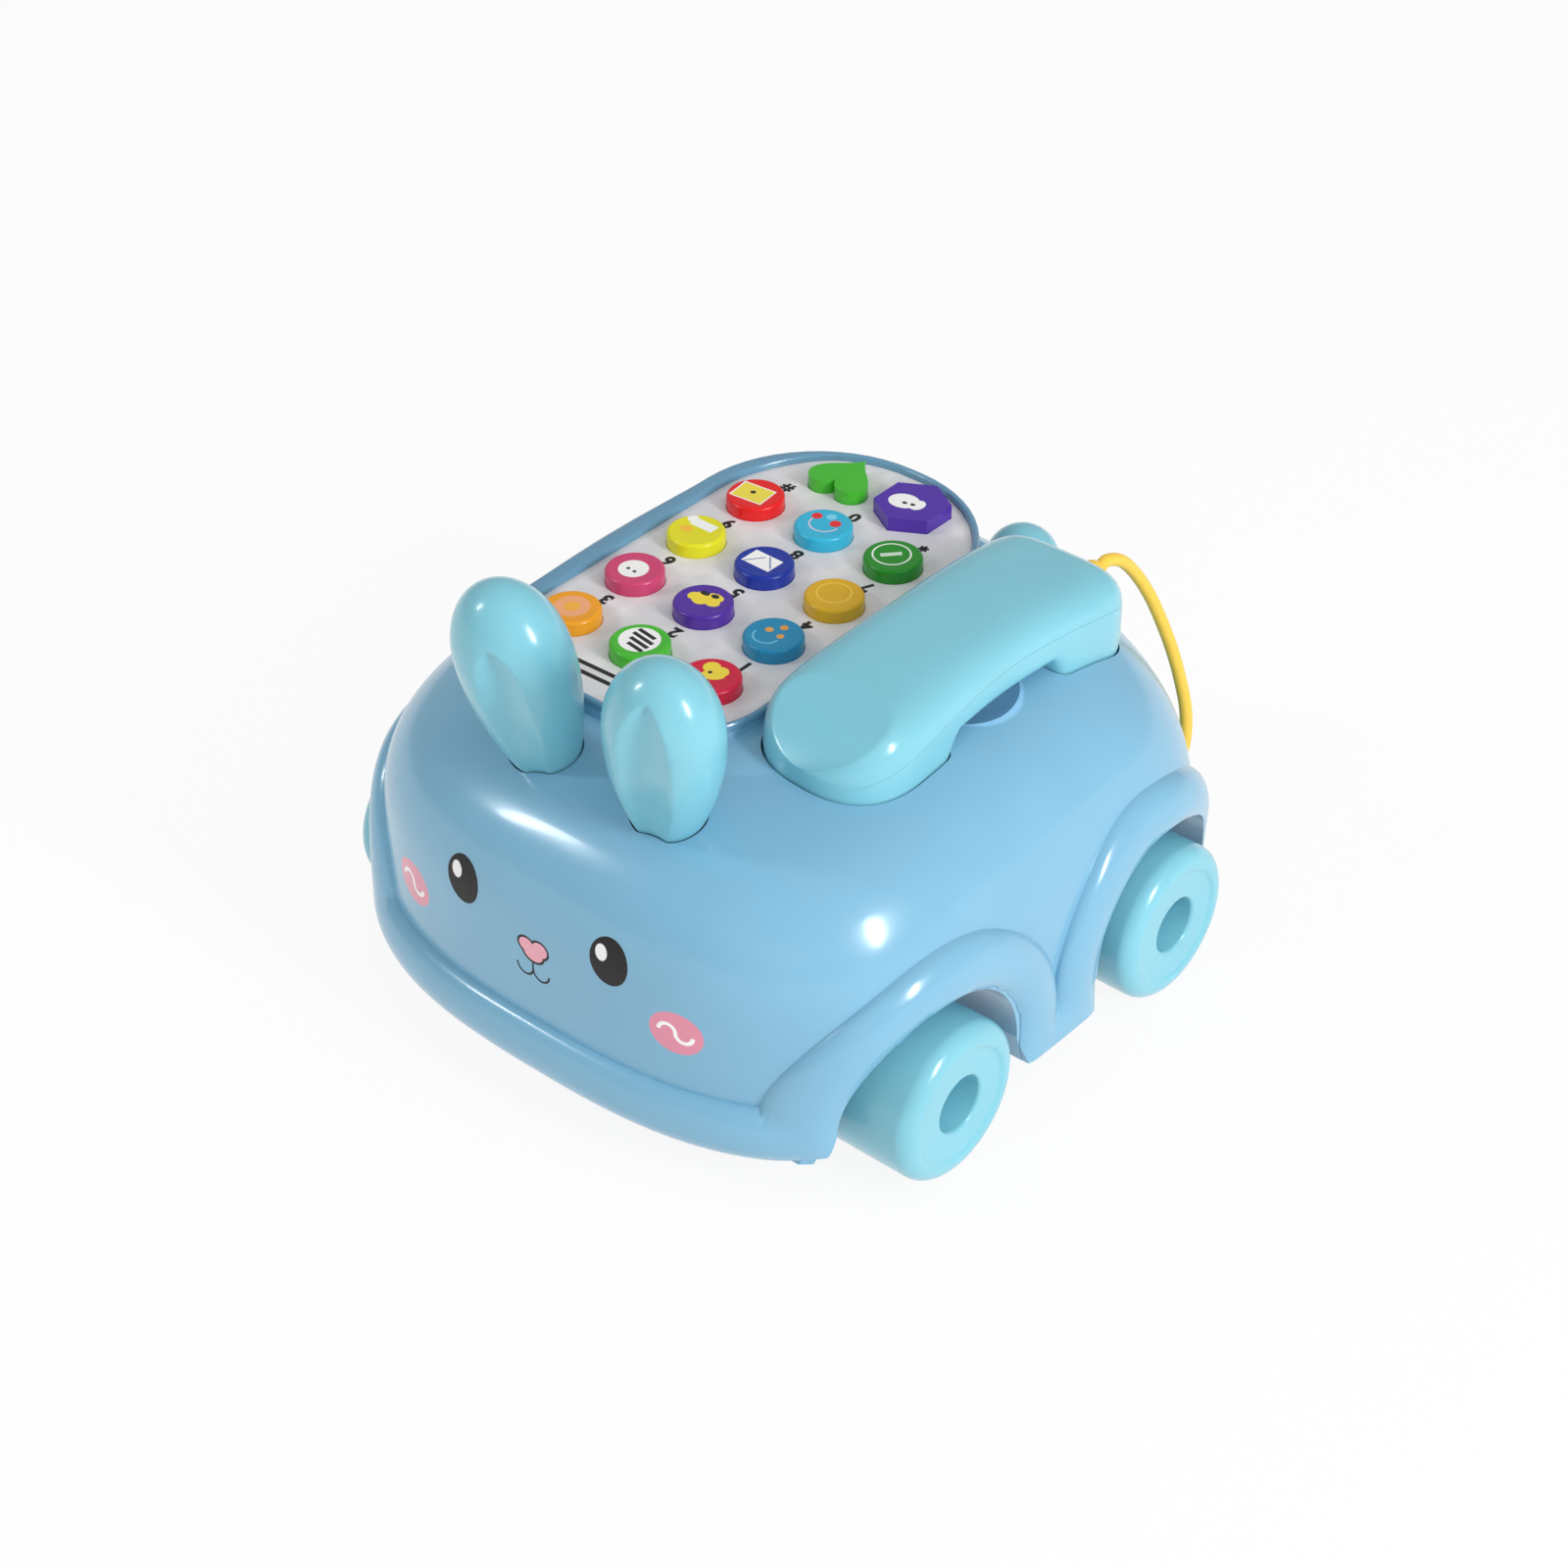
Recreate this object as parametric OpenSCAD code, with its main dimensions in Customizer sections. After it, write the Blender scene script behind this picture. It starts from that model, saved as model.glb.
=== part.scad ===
// Toy telephone shaped as a small rabbit car: a moulded dome on four wheels, a keypad with
// fourteen sprung buttons, and a corded handset that lies in a cradle beside the keypad.
// X is across (the handset is on the +X side), the face looks towards -Y, and the floor is Z = 0.

/* [Keypad] */
// Spacing of the buttons across the keypad
pitch_x = 24; // [21:0.5:30]
// Spacing of the rows of buttons
pitch_y = 24.3; // [21:0.1:30]
// Diameter of a round button
button_d = 16; // [12:0.5:19]
// Height of a button above the keypad
button_rise = 4; // [3:0.5:6]
// How far a button goes down
button_travel = 1.8; // [1:0.1:2.4]
// Keypad beside its outer buttons, from their centres
side_border = 16; // [12:0.2:20]
// Keypad in front of its first row, from the buttons' centres
front_border = 23.3; // [16:0.1:30]
// Keypad behind its last row, from the buttons' centres
back_border = 14.3; // [14:0.1:24]
// Thickness of the keypad plate
plate_t = 2; // [1.5:0.1:3]
// Radius of the keypad's two front corners
front_corner = 22; // [8:0.5:26]
// Radius of the keypad's two back corners
back_corner = 38; // [8:0.5:38]
// Width of the raised rim round the keypad
rim_w = 2; // [1.6:0.1:4]
// Height of the rim above the keypad
rim_h = 2; // [1:0.1:4]

/* [Body] */
// Height of the keypad above the floor
deck_z = 95.5; // [85:0.5:118]
// Length of the sloping hood in front of the keypad
hood_len = 43.2; // [36:0.1:54]
// Length of the back behind the keypad
back_len = 22; // [16:0.5:30]
// Width of the dome beside the keypad's rim
key_shoulder = 22.4; // [18:0.1:30]
// Width of the dome beside the handset
handset_shoulder = 27.1; // [22:0.1:34]
// Wall of the dome
wall = 2.5; // [2:0.1:3.5]
// Gap between the body's lower edge and the floor
clearance_z = 12.5; // [9:0.5:16]
// How far the bumper band stands out of the dome
band_out = 4.5; // [3:0.1:7]
// Width of the bumper band
band_w = 16; // [13:0.5:20]

/* [Wheels] */
// Diameter of a wheel
wheel_d = 44.2; // [36:0.2:54]
// Width of a wheel
wheel_w = 32; // [24:0.5:38]
// Distance from the front axle to the back axle
wheelbase = 92; // [84:0.5:116]
// Diameter of an axle
axle_d = 4; // [3:0.1:5]
// Diameter of the open hub of a wheel
hub_d = 15.8; // [10:0.2:20]
// Running room between a wheel and its arch
wheel_room = 7; // [4:0.1:9]

/* [Handset] */
// Length of the handset
handset_len = 116; // [100:1:140]
// Width of the handset
handset_w = 42; // [34:0.5:50]
// Height of the handset's back above the keypad
handset_rise = 16.5; // [12:0.5:22]
// Length of each end block of the handset
block_len = 37; // [30:0.5:44]
// Depth of an end block below the keypad
block_drop = 20; // [14:0.5:24]
// Thickness of the grip
grip_t = 16.5; // [12:0.5:18]
// Diameter of the cord
cord_d = 4.4; // [3.6:0.1:5]

/* [Ears and tail] */
// Height of an ear above the hood
ear_len = 51; // [38:1:62]
// Width of an ear
ear_w = 32; // [26:0.5:38]
// Thickness of an ear
ear_t = 28; // [20:0.5:32]
// Distance between the roots of the ears
ear_gap = 40.4; // [34:0.2:50]
// Diameter of the round tail
tail_d = 21; // [16:0.5:26]

/* [Hidden] */
DIGITS = ["1", "2", "3", "4", "5", "6", "7", "8", "9", "star", "0", "hash"];
DIGIT_COLORS = ["crimson", "limegreen", "orange", "deepskyblue", "rebeccapurple", "hotpink",
    "goldenrod", "royalblue", "yellow", "green", "darkturquoise", "red"];

$fn = 48;
eps = 0.01;
fit = 0.3;             // gap between a fixed piece and its seat
slide_fit = 0.15;      // gap round a piece that moves in a guide
running_fit = 0.08;    // gap round an axle in its bearing
cradle_room = 0.5;     // between the handset and its cradle
rows = 5;
columns = 3;
body_blue = [0.36, 0.62, 0.84];
aqua = [0.52, 0.83, 0.89];

// Keypad
plate_l = (rows - 1) * pitch_y + front_border + back_border;
plate_w = (columns - 1) * pitch_x + 2 * side_border;
ledge_w = 4;
rim_top = deck_z + rim_h;
rim_room = 1.3;        // between the rim and the handset
rim_drop = 14;         // how far the rim's wall goes down into the dome
tail_out = 8.5;        // how far the tail stands out behind the dome
total_l = band_out + hood_len + plate_l + back_len + tail_out;
plate_y0 = band_out + hood_len - total_l / 2;
plate_y1 = plate_y0 + plate_l;
plate_y = (plate_y0 + plate_y1) / 2;
rows_y = plate_y0 + front_border;

// Body, centred on the Z axis
nose_y = plate_y0 - hood_len;
back_y = plate_y1 + back_len;
half_w = (key_shoulder + 2 * rim_w + plate_w + rim_room + handset_w + handset_shoulder) / 2;
plate_x = -half_w + key_shoulder + rim_w + plate_w / 2;
handset_x = half_w - handset_shoulder - handset_w / 2;
dome_top = deck_z - 2;
front_round = 66;      // depth of the rounded nose in plan
back_round = 58;       // depth of the rounded back in plan
nose_power = 2.7;      // squareness of the nose in plan
back_power = 2.2;      // squareness of the back in plan
side_bow = 0.8;        // how far the sides swell between nose and back
crown = 1.2;           // how far the roof rises to its middle
crease_z = clearance_z + band_w + 0.5;  // top of the bumper band at the nose and the back
valley_z = crease_z - 7;                // top of the band between the wheels

// Wheels
wheel_r = wheel_d / 2;
nose_to_axle = 50;
axle_y = [nose_y + nose_to_axle, nose_y + nose_to_axle + wheelbase];
wheel_mid_y = (axle_y[0] + axle_y[1]) / 2;
wheel_face = half_w + band_out + 3.3;
well_in = wheel_face - wheel_w - 4;
arch_r = wheel_r + wheel_room;
arch_foot = arch_r + 6.5;
arch_wall = 2;
band_r = arch_r + 15;
band_front = band_r - 5;
band_back = band_r + 2;

// Buttons
flange_t = 1.2;
flange_w = 1.4;
stem_drop = 0.6;
flange_top = deck_z - plate_t - fit;
stem_z = flange_top - flange_t - stem_drop;
button_round = 1.2;
dome_z = stem_z - button_travel - fit;
sheet_t = 0.8;
sheet_z = dome_z - 0.9 - sheet_t;
board_t = 1.6;
board_z = sheet_z - board_t;
post_d = 4.6;

// ---------- shared shapes ----------

function bez(p, t) = pow(1 - t, 3) * p[0] + 3 * pow(1 - t, 2) * t * p[1]
    + 3 * (1 - t) * t * t * p[2] + pow(t, 3) * p[3];
function bez_t(p, z, lo = 0, hi = 1, n = 22) = n == 0 ? (lo + hi) / 2 :
    let (m = (lo + hi) / 2) bez(p, m)[1] < z ? bez_t(p, z, m, hi, n - 1) : bez_t(p, z, lo, m, n - 1);
function across(p, z) = bez(p, bez_t(p, z))[0];
function unit(v) = v / norm(v);
function signed_pow(v, e) = sign(v) * pow(abs(v), e);

// Triangles of a loft whose rings of n points run anticlockwise seen from its end
function loft_faces(n, m) = [
    for (j = [0 : m - 2]) for (i = [0 : n - 1])
        let (a = j * n + i, b = j * n + (i + 1) % n)
        each [[a, a + n, b], [b, a + n, b + n]],
    for (i = [0 : n - 1]) let (k = (i + 1) % n, end = (m - 1) * n)
        each [[i, k, m * n], [end + k, end + i, m * n + 1]]
];
function middle(ring) = [for (r = ring) 1] * ring / len(ring);
module loft(rings, peak = 0) {
    n = len(rings[0]);
    m = len(rings);
    polyhedron([for (r = rings) each r, middle(rings[0]), middle(rings[m - 1]) + [0, 0, peak]],
        loft_faces(n, m), convexity = 8);
}

// Oblong of width w and length l, its front corners of radius f and its back corners of radius b
module rounded(w, l, f, b) {
    translate([-w / 2, f - l / 2]) square([w, l - f - b]);
    translate([f - w / 2, -l / 2]) square([w - 2 * f, f + eps]);
    translate([b - w / 2, l / 2 - b - eps]) square([w - 2 * b, b + eps]);
    for (s = [-1, 1]) {
        translate([s * (w / 2 - f), f - l / 2]) circle(f);
        translate([s * (w / 2 - b), l / 2 - b]) circle(b);
    }
}

// ---------- the dome ----------

// Side views of the dome, as [distance from the middle, height], from the crease to the top
nose_curve = [[-nose_y, 0.6 * dome_top], [-nose_y, 0.835 * dome_top],
    [-nose_y - 12.5, 0.965 * dome_top], [-plate_y0 - 5, dome_top]];
back_curve = [[back_y, 0.41 * dome_top], [back_y - 2, 0.67 * dome_top],
    [back_y - 14, 0.9 * dome_top], [back_y - 32, dome_top]];
side_curve = [[half_w, 0.47 * dome_top], [half_w, 0.77 * dome_top],
    [half_w - 8.4, 0.975 * dome_top], [half_w - 38, dome_top]];
function nose_at(z) = z < nose_curve[0][1] ? -nose_curve[0][0] : -across(nose_curve, z);
function back_at(z) = z < back_curve[0][1] ? back_curve[0][0] : across(back_curve, z);
function half_at(z) = z < side_curve[0][1] ? side_curve[0][0] : across(side_curve, z);

// Plan of the dome at height z, grown by g: a rounded nose, straight sides, a rounded back
function corner(a, b, phi, n) =
    let (s = sin(phi), c = cos(phi)) pow(pow(abs(s) / a, n) + pow(abs(c) / b, n), -1 / n) * [s, -c];
function plan_point(k, nf, ns, nb, z, g) =
    let (w = half_at(z) + g, yf = nose_at(z) + front_round, yb = back_at(z) - back_round,
        f = front_round + g, b = back_round + g)
    k <= nf ? [0, yf] + corner(w, f, 90 * k / nf, nose_power) :
    k < nf + ns ? let (u = 2 * (k - nf) / ns - 1)
        [w + side_bow * pow(1 - u * u, 2), (yf + yb + (yb - yf) * u) / 2] :
    let (q = corner(w, b, 90 * (nf + ns + nb - k) / nb, back_power)) [q[0], yb - q[1]];
function turned(p, side) = [side * p[0], p[1]];
// side -1 repeats the same outline on the other flank
function plan_at(k, nf, ns, nb, z, g) =
    let (half = nf + ns + nb)
    k <= half ? plan_point(k, nf, ns, nb, z, g)
        : turned(plan_point(2 * half - k, nf, ns, nb, z, g), -1);

// Height of the band's upper edge, and how far a point lies inside that edge
function arch_reach(y, n) = y < axle_y[n] ?
    (n == 0 ? band_front : band_back) : (n == 0 ? band_back : band_front);
function arch_top(y, n) = let (u = (y - axle_y[n]) / arch_reach(y, n))
    abs(u) < 1 ? wheel_r + (band_r - 0.5) * sqrt(1 - u * u) : 0;
function edge_base(y) = abs(y - wheel_mid_y) < wheelbase / 2 ? valley_z : crease_z;
function edge_z(y) = max(arch_top(y, 0), arch_top(y, 1), edge_base(y));
function arch_depth(y, z, n) = (1 - norm([(y - axle_y[n]) / arch_reach(y, n),
    (z - wheel_r) / (band_r - 0.5)])) * band_r;
function band_depth(y, z) = max(arch_depth(y, z, 0), arch_depth(y, z, 1), edge_base(y) - z);
function band_grow(d) = d <= 0 || d >= band_w ? 0 : band_out * sqrt(1 - pow(2 * d / band_w - 1, 2));

NF = 18;
NS = 16;
NB = 13;
BELOW = [1, 0.72, 0.46, 0.26, 0.12, 0.035];
ABOVE = 10;
module dome_solid() {
    turn = 2 * (NF + NS + NB);
    loft([
        for (d = BELOW) [for (k = [0 : turn - 1])
            let (y = plan_at(k, NF, NS, NB, crease_z, 0)[1], top = edge_z(y),
                z = top - d * (top - clearance_z), g = band_grow(band_depth(y, z)))
            let (p = plan_at(k, NF, NS, NB, z, g)) [p[0], p[1], z]],
        for (j = [0 : ABOVE]) [for (k = [0 : turn - 1])
            let (top = edge_z(plan_at(k, NF, NS, NB, crease_z, 0)[1]),
                z = top + (dome_top - top) * sin(90 * j / ABOVE),
                p = plan_at(k, NF, NS, NB, z, 0)) [p[0], p[1], z]]
    ], crown);
}

module dome_hollow() {
    heights = [clearance_z - 1, 30, 52, 68, 80, dome_top - wall - 4, dome_top - wall];
    loft([for (z = heights) [for (k = [0 : 63])
        let (q = min(dome_top, z + wall), p = plan_at(k, 12, 8, 12, q, -wall)) [p[0], p[1], z]]], crown);
}

module keypad_outline(g) {
    translate([plate_x, plate_y]) rounded(plate_w + 2 * g, plate_l + 2 * g, front_corner + g, back_corner + g);
}

// ---------- handset ----------

handset_y0 = plate_y0 + 9.3;
handset_y1 = handset_y0 + handset_len;
handset_y = (handset_y0 + handset_y1) / 2;
handset_top = deck_z + handset_rise;
handset_foot = deck_z - block_drop;
grip_under = handset_top - grip_t;
end_round_front = 22;
end_round_back = 22;
HANDSET_SIDES = 24;

function smooth(t) = let (c = max(0, min(1, t))) c * c * (3 - 2 * c);
// Plan half width, back and underside of the handset at y
function handset_half(y, g) =
    let (f = (y - handset_y0 + g) / (end_round_front + g), b = (handset_y1 + g - y) / (end_round_back + g))
    let (e = min(1, f, b), waist = 1 - 0.07 * smooth(1 - abs(y - handset_y) / (handset_len / 2 - 20)))
    (handset_w / 2 * waist + g) * pow(max(0, 1 - pow(1 - max(0, e), 2.4)), 1 / 2.4);
function handset_back(y, g) =
    let (u = (y - handset_y) / (handset_len / 2), e = min(1, (y - handset_y0 + g) / 16, (handset_y1 + g - y) / 12))
    handset_top + g - 5 * u * u - 9 * pow(1 - max(0, e), 2);
function handset_under(y, g) =
    let (inner = min(y - handset_y0, handset_y1 - y),
        e = min(1, (y - handset_y0 + g) / 14, (handset_y1 + g - y) / 9))
    handset_foot - g + (grip_under - handset_foot) * smooth((inner - block_len + 7) / 9)
        + 7 * pow(1 - max(0, e), 2);
function handset_seam(y) =
    let (u = (y - handset_y) / (handset_len / 2)) deck_z + 5.5 - 9 * u * u;
function handset_steps(g) = [
    for (t = [0.04, 0.35, 1.2, 3, 6, 10, 15, 20, 25]) handset_y0 - g + t,
    for (t = [0 : 6]) handset_y0 + block_len - 7 + 1.5 * t,
    for (t = [1 : 4]) handset_y0 + block_len + 2 + (handset_len - 2 * block_len - 4) * t / 5,
    for (t = [6 : -1 : 0]) handset_y1 - block_len + 7 - 1.5 * t,
    for (t = [22, 16, 11, 7, 4, 2, 0.8, 0.25, 0.03]) handset_y1 + g - t
];
// One slice of the handset between heights lo and hi, as a closed ring seen from +Y
function handset_slice(y, g, part) =
    let (w = max(0.4, handset_half(y, g)), mid = handset_seam(y), up = handset_back(y, g),
        down = handset_under(y, g), n = HANDSET_SIDES / 2)
    part == "all" ? [for (i = [0 : 2 * n - 1])
        let (a = 180 * i / n, c = cos(a), s = sin(a), h = s > 0 ? up - mid : mid - down)
        [handset_x - w * signed_pow(c, 0.55), y, mid + h * signed_pow(s, 0.62)]] :
    let (q = part == "upper" ? 1 : -1, h = part == "upper" ? up - mid : mid - down)
    [for (i = [0 : n]) let (a = q > 0 ? 180 * i / n : 180 - 180 * i / n, c = cos(a), s = sin(a))
        [handset_x - w * signed_pow(c, 0.55), y, mid + q * h * signed_pow(s, 0.62)]];
module handset_solid(g = 0, part = "all") {
    loft([for (y = handset_steps(g)) handset_slice(y, g, part)]);
}

// ---------- casing ----------

floor_t = 2.5;
well_top = 80;
well_lip = 2;          // how far a wheel well reaches out past the dome's side
scoop_d = 31;
scoop_at = [handset_x + 6.7, handset_y - 0.5, dome_top + 5];
boss_at = [for (x = [-1, 1]) each [[x * 36, nose_y + 15], [x * 42, back_y - 14]]];
boss_d = 8;
screw_d = 3;
ear_lean = [9.4, 8.6];  // degrees forwards and outwards
ear_y = plate_y0 - 16;
ear_root = 9;          // depth of an ear's root in the dome
ear_z = dome_top - 4.6;
tail_at = [0, total_l / 2 - tail_d / 2, 0.743 * dome_top];
tail_turn = -72;
tail_peg_d = 9;
tail_peg_l = 3;
gland_d = cord_d + 2;
gland_l = 8;
grommet_l = 5;

// The cord, from the handset's back end over and down to the gland behind the wheel arch
CORD = [
    [44, 68, 98.5], [44, 70, 98.5], [44, 73, 98.8], [45, 78, 96.6], [46.5, 83, 90.8], [49, 87, 82.8], [52, 89.5, 74],
    [55, 91, 65.5], [58, 91.5, 57], [61, 91, 48], [62.8, 88.8, 40], [63, 85.6, 34], [63, 85, 30]
];

// Side view of a wheel arch, grown by g: round over the wheel, with legs that spread to the foot
module arch_outline(g) {
    circle(arch_r + g);
    polygon([[-arch_r - g, 0], [arch_r + g, 0],
        [arch_foot + 1.6 * g, -wheel_r], [-arch_foot - 1.6 * g, -wheel_r]]);
}
module along_x(x0, x1) {
    translate([x0, 0, 0]) rotate([90, 0, 90]) linear_extrude(x1 - x0) children();
}
module at_wheels() {
    for (y = axle_y, m = [0, 1]) translate([0, y, wheel_r]) mirror([m, 0, 0]) children();
}

// The dome with its cradle, finger scoop, wheel arches and sockets, as one moulded surface
module upper_shell() {
    color(body_blue) resize([0, 0, 0]) difference() {
        union() {
            dome_solid();
            translate([0, 0, deck_z - rim_drop]) linear_extrude(rim_h + rim_drop) keypad_outline(rim_w);
        }
        difference() {
            dome_hollow();
            handset_solid(wall + cradle_room);
            translate(scoop_at) sphere(scoop_d / 2 + wall, $fn = 28);
            for (b = boss_at) translate([b[0], b[1], clearance_z + floor_t + 0.1])
                cylinder(d = boss_d, h = dome_top, $fn = 20);
            translate([0, 0, deck_z - rim_drop - 1]) linear_extrude(2 * rim_drop) keypad_outline(rim_w + 0.2);
        }
        handset_solid(cradle_room);
        translate(scoop_at) rotate(2) sphere(scoop_d / 2, $fn = 44);
        at_wheels() along_x(well_in - wall - arch_wall, wheel_face) arch_outline(arch_wall + fit);
        for (s = [-1, 1]) ear(s, fit / 2);
        tail_body(fit / 2, 28);
        translate([0, 0, deck_z - plate_t]) linear_extrude(rim_drop) keypad_outline(fit / 2);
        translate([0, 0, deck_z - 2 * rim_drop]) linear_extrude(2 * rim_drop) keypad_outline(-ledge_w);
        for (b = boss_at) translate([b[0], b[1], clearance_z]) cylinder(d = screw_d, h = 16, $fn = 16);
        translate([heart_at[0], heart_at[1], deck_z - rim_drop]) cylinder(r = key_well, h = rim_drop);
        translate([hexagon_at[0], hexagon_at[1], deck_z - rim_drop]) rotate(30)
            cylinder(r = hexagon_d / 2 + 2.2, h = rim_drop, $fn = 6);
        translate(CORD[len(CORD) - 1] - [0, 0, gland_l + 1]) cylinder(d = gland_d + 0.1, h = 3 * gland_l, $fn = 24);
    }
}

// ---------- ears and tail ----------

EAR_SIDES = 24;
EAR_STEPS = [0, 0.12, 0.25, 0.38, 0.5, 0.62, 0.74, 0.85, 0.93, 0.98, 1];
// Outline of an ear from its root to its tip, and the depth of the scoop in its front
function ear_swell(t) = t < 0.62 ? 0.42 + 0.58 * sin(90 * t / 0.62)
    : sqrt(max(0.0006, 1 - pow((t - 0.62) / 0.381, 2.2)));
scoop_depth = 4.6;
function ear_scoop(t) = scoop_depth * smooth((0.66 - t) / 0.16) * smooth(t * 6 - 0.4);
module ear(side, g = 0) {
    whole = ear_len + ear_root;
    translate([side * ear_gap / 2, ear_y, ear_z]) rotate([ear_lean[0], side * ear_lean[1], 0])
        translate([0, 0, -ear_root]) loft([for (t = EAR_STEPS) [for (i = [0 : EAR_SIDES - 1])
            let (a = 360 * i / EAR_SIDES, front = max(0, -sin(a)), w = ear_w / 2 * ear_swell(t) + g,
                d = ear_t / 2 * ear_swell(t) + g)
            [w * cos(a), d * sin(a) + ear_scoop(t) * smooth((front - 0.74) / 0.2), whole * t + (2 * t - 1) * g]]]);
}

module tail_body(g = 0, sides = 48) {
    translate(tail_at) rotate([tail_turn, 0, 0]) union() {
        sphere(tail_d / 2 + g, $fn = sides);
        translate([0, 0, -tail_d / 2 - tail_peg_l]) cylinder(d = tail_peg_d + 2 * g, h = 8, $fn = sides);
    }
}
module tail() {
    color(aqua) tail_body();
}

// ---------- base ----------

cell_d = 14.2;
cell_l = 49.5;
cell_pitch = 15;
box_l = 58;
box_w = 3 * cell_pitch + 1.4;
box_h = cell_d + 2.6;
box_t = 2;
door_t = 2;
door_l = box_l + 11;
door_w = box_w + 6;
door_screw_x = box_l / 2 + 2.4;
speaker_d = 36;
speaker_at = [0, axle_y[1] + 30];
switch_at = [0, axle_y[0] - 26];
switch_travel = 4;
slot_l = 9;
slot_w = 5;
knob_l = slot_l - switch_travel - 2 * slide_fit;
bearing_d = 11;
bearing_l = 7;

module base_plan(g) {
    polygon([for (k = [0 : 63]) plan_at(k, 12, 8, 12, clearance_z, g)]);
}
module wheel_well() {
    difference() {
        union() {
            along_x(well_in - box_t, wheel_face) difference() {
                arch_outline(arch_wall);
                arch_outline(0);
            }
            along_x(well_in - box_t, well_in) arch_outline(arch_wall);
            translate([well_in - bearing_l, 0, 0]) rotate([0, 90, 0]) cylinder(d = bearing_d, h = bearing_l);
        }
        translate([well_in - bearing_l - 1, 0, 0]) rotate([0, 90, 0])
            cylinder(d = axle_d + 2 * running_fit, h = bearing_l + 2);
    }
}
module lower_shell() {
    color(body_blue) difference() {
        union() {
            difference() {
                translate([0, 0, clearance_z]) linear_extrude(floor_t) base_plan(-wall - fit);
                at_wheels() along_x(well_in - box_t + eps, half_w + 20) arch_outline(0);
            }
            intersection() {
                translate([0, 0, clearance_z]) linear_extrude(well_top) base_plan(well_lip);
                at_wheels() wheel_well();
            }
            translate([0, wheel_mid_y, clearance_z + (box_h + box_t + door_t) / 2])
                cube([box_l + 2 * box_t, box_w + 2 * box_t, box_h + box_t + door_t], center = true);
            translate([speaker_at[0], speaker_at[1], clearance_z])
                cylinder(d = speaker_d + 4, h = floor_t + 4);
        }
        translate([0, wheel_mid_y, clearance_z + door_t + box_h / 2 - eps])
            cube([box_l, box_w, box_h], center = true);
        translate([0, wheel_mid_y, clearance_z])
            cube([door_l, door_w, 2 * door_t], center = true);
        translate([speaker_at[0], speaker_at[1], clearance_z + floor_t])
            cylinder(d = speaker_d + 2 * fit, h = 10);
        for (r = [0 : 2], i = [0 : max(1, 6 * r) - 1]) translate([speaker_at[0], speaker_at[1], 0])
            rotate(i * 60 / max(1, r)) translate([5 * r, 0, clearance_z - 1]) cylinder(d = 2.6, h = 6);
        translate([switch_at[0], switch_at[1], clearance_z]) cube([slot_l, slot_w, 20], center = true);
        for (b = boss_at) translate([b[0], b[1], 0]) {
            cylinder(d = screw_d + 0.4, h = 20);
            cylinder(d = 6, h = clearance_z + 1.2);
        }
        translate([door_screw_x, wheel_mid_y, 0]) cylinder(d = 2, h = clearance_z + 7);
    }
}

// ---------- keypad ----------

function column_x(i) = plate_x + (1 - i) * pitch_x;
function row_y(j) = rows_y + j * pitch_y;
function key_at(n) = [column_x(n % 3), row_y(floor(n / 3))];
heart_at = [plate_x - pitch_x / 2, row_y(4)];
hexagon_at = [plate_x + pitch_x / 2 - 0.8, row_y(4)];
hexagon_d = 1.34 * button_d;    // across its corners
key_well = 12.1;                // radius of the hole under the heart
post_at = [for (j = [0.5, 2.5], i = [0.5, 1.5]) [column_x(i), row_y(j)]];

module heart(g) {
    k = 0.036 * button_d + g / 14;
    polygon([for (i = [0 : 43]) let (a = 360 * i / 44)
        k * [16 * pow(sin(a), 3), 5 * cos(2 * a) - 13 * cos(a) + 2 * cos(3 * a) + cos(4 * a) - 2.5]]);
}
module button_outline(shape, g) {
    if (shape == "round") circle(d = button_d + 2 * g);
    if (shape == "heart") heart(g);
    if (shape == "hexagon") rotate(30) circle(d = hexagon_d + 2.3 * g, $fn = 6);
}
module button(shape, at, tint) {
    color(tint) translate([at[0], at[1], 0]) {
        if (shape == "round") {
            translate([0, 0, stem_z]) rotate_extrude() difference() {
                polygon([
                    [0, 0], [button_d / 2, 0], [button_d / 2, stem_drop],
                    [button_d / 2 + flange_w, stem_drop], [button_d / 2 + flange_w, stem_drop + flange_t],
                    [button_d / 2, stem_drop + flange_t], [button_d / 2, deck_z - stem_z + 1],
                    [button_d / 2 - 0.5, deck_z - stem_z + button_rise - button_round],
                    [button_d / 2 - 0.5 - button_round * 0.4, deck_z - stem_z + button_rise - button_round * 0.3],
                    [button_d / 2 - 0.5 - button_round, deck_z - stem_z + button_rise],
                    [0, deck_z - stem_z + button_rise - 0.5]]);
                square([button_d / 2 - 2, stem_drop + 2.4]);
            }
        } else {
            difference() {
                union() {
                    translate([0, 0, stem_z]) linear_extrude(deck_z + button_rise - stem_z) button_outline(shape, 0);
                    translate([0, 0, stem_z + stem_drop]) linear_extrude(flange_t) button_outline(shape, flange_w);
                }
                translate([0, 0, stem_z - 1]) linear_extrude(stem_drop + 3.4) button_outline(shape, -2);
            }
        }
    }
}
module keypad_plate() {
    color("whitesmoke") {
        difference() {
            translate([0, 0, deck_z - plate_t]) linear_extrude(plate_t) keypad_outline(0);
            for (n = [0 : 11]) translate([key_at(n)[0], key_at(n)[1], 0])
                cylinder(d = button_d + 2 * slide_fit, h = 200);
            translate([heart_at[0], heart_at[1], 0]) linear_extrude(200) button_outline("heart", slide_fit);
            translate([hexagon_at[0], hexagon_at[1], 0]) linear_extrude(200) button_outline("hexagon", slide_fit);
        }
        for (p = post_at) translate([p[0], p[1], sheet_z]) cylinder(d = post_d, h = deck_z - plate_t - sheet_z + eps);
    }
}
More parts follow.
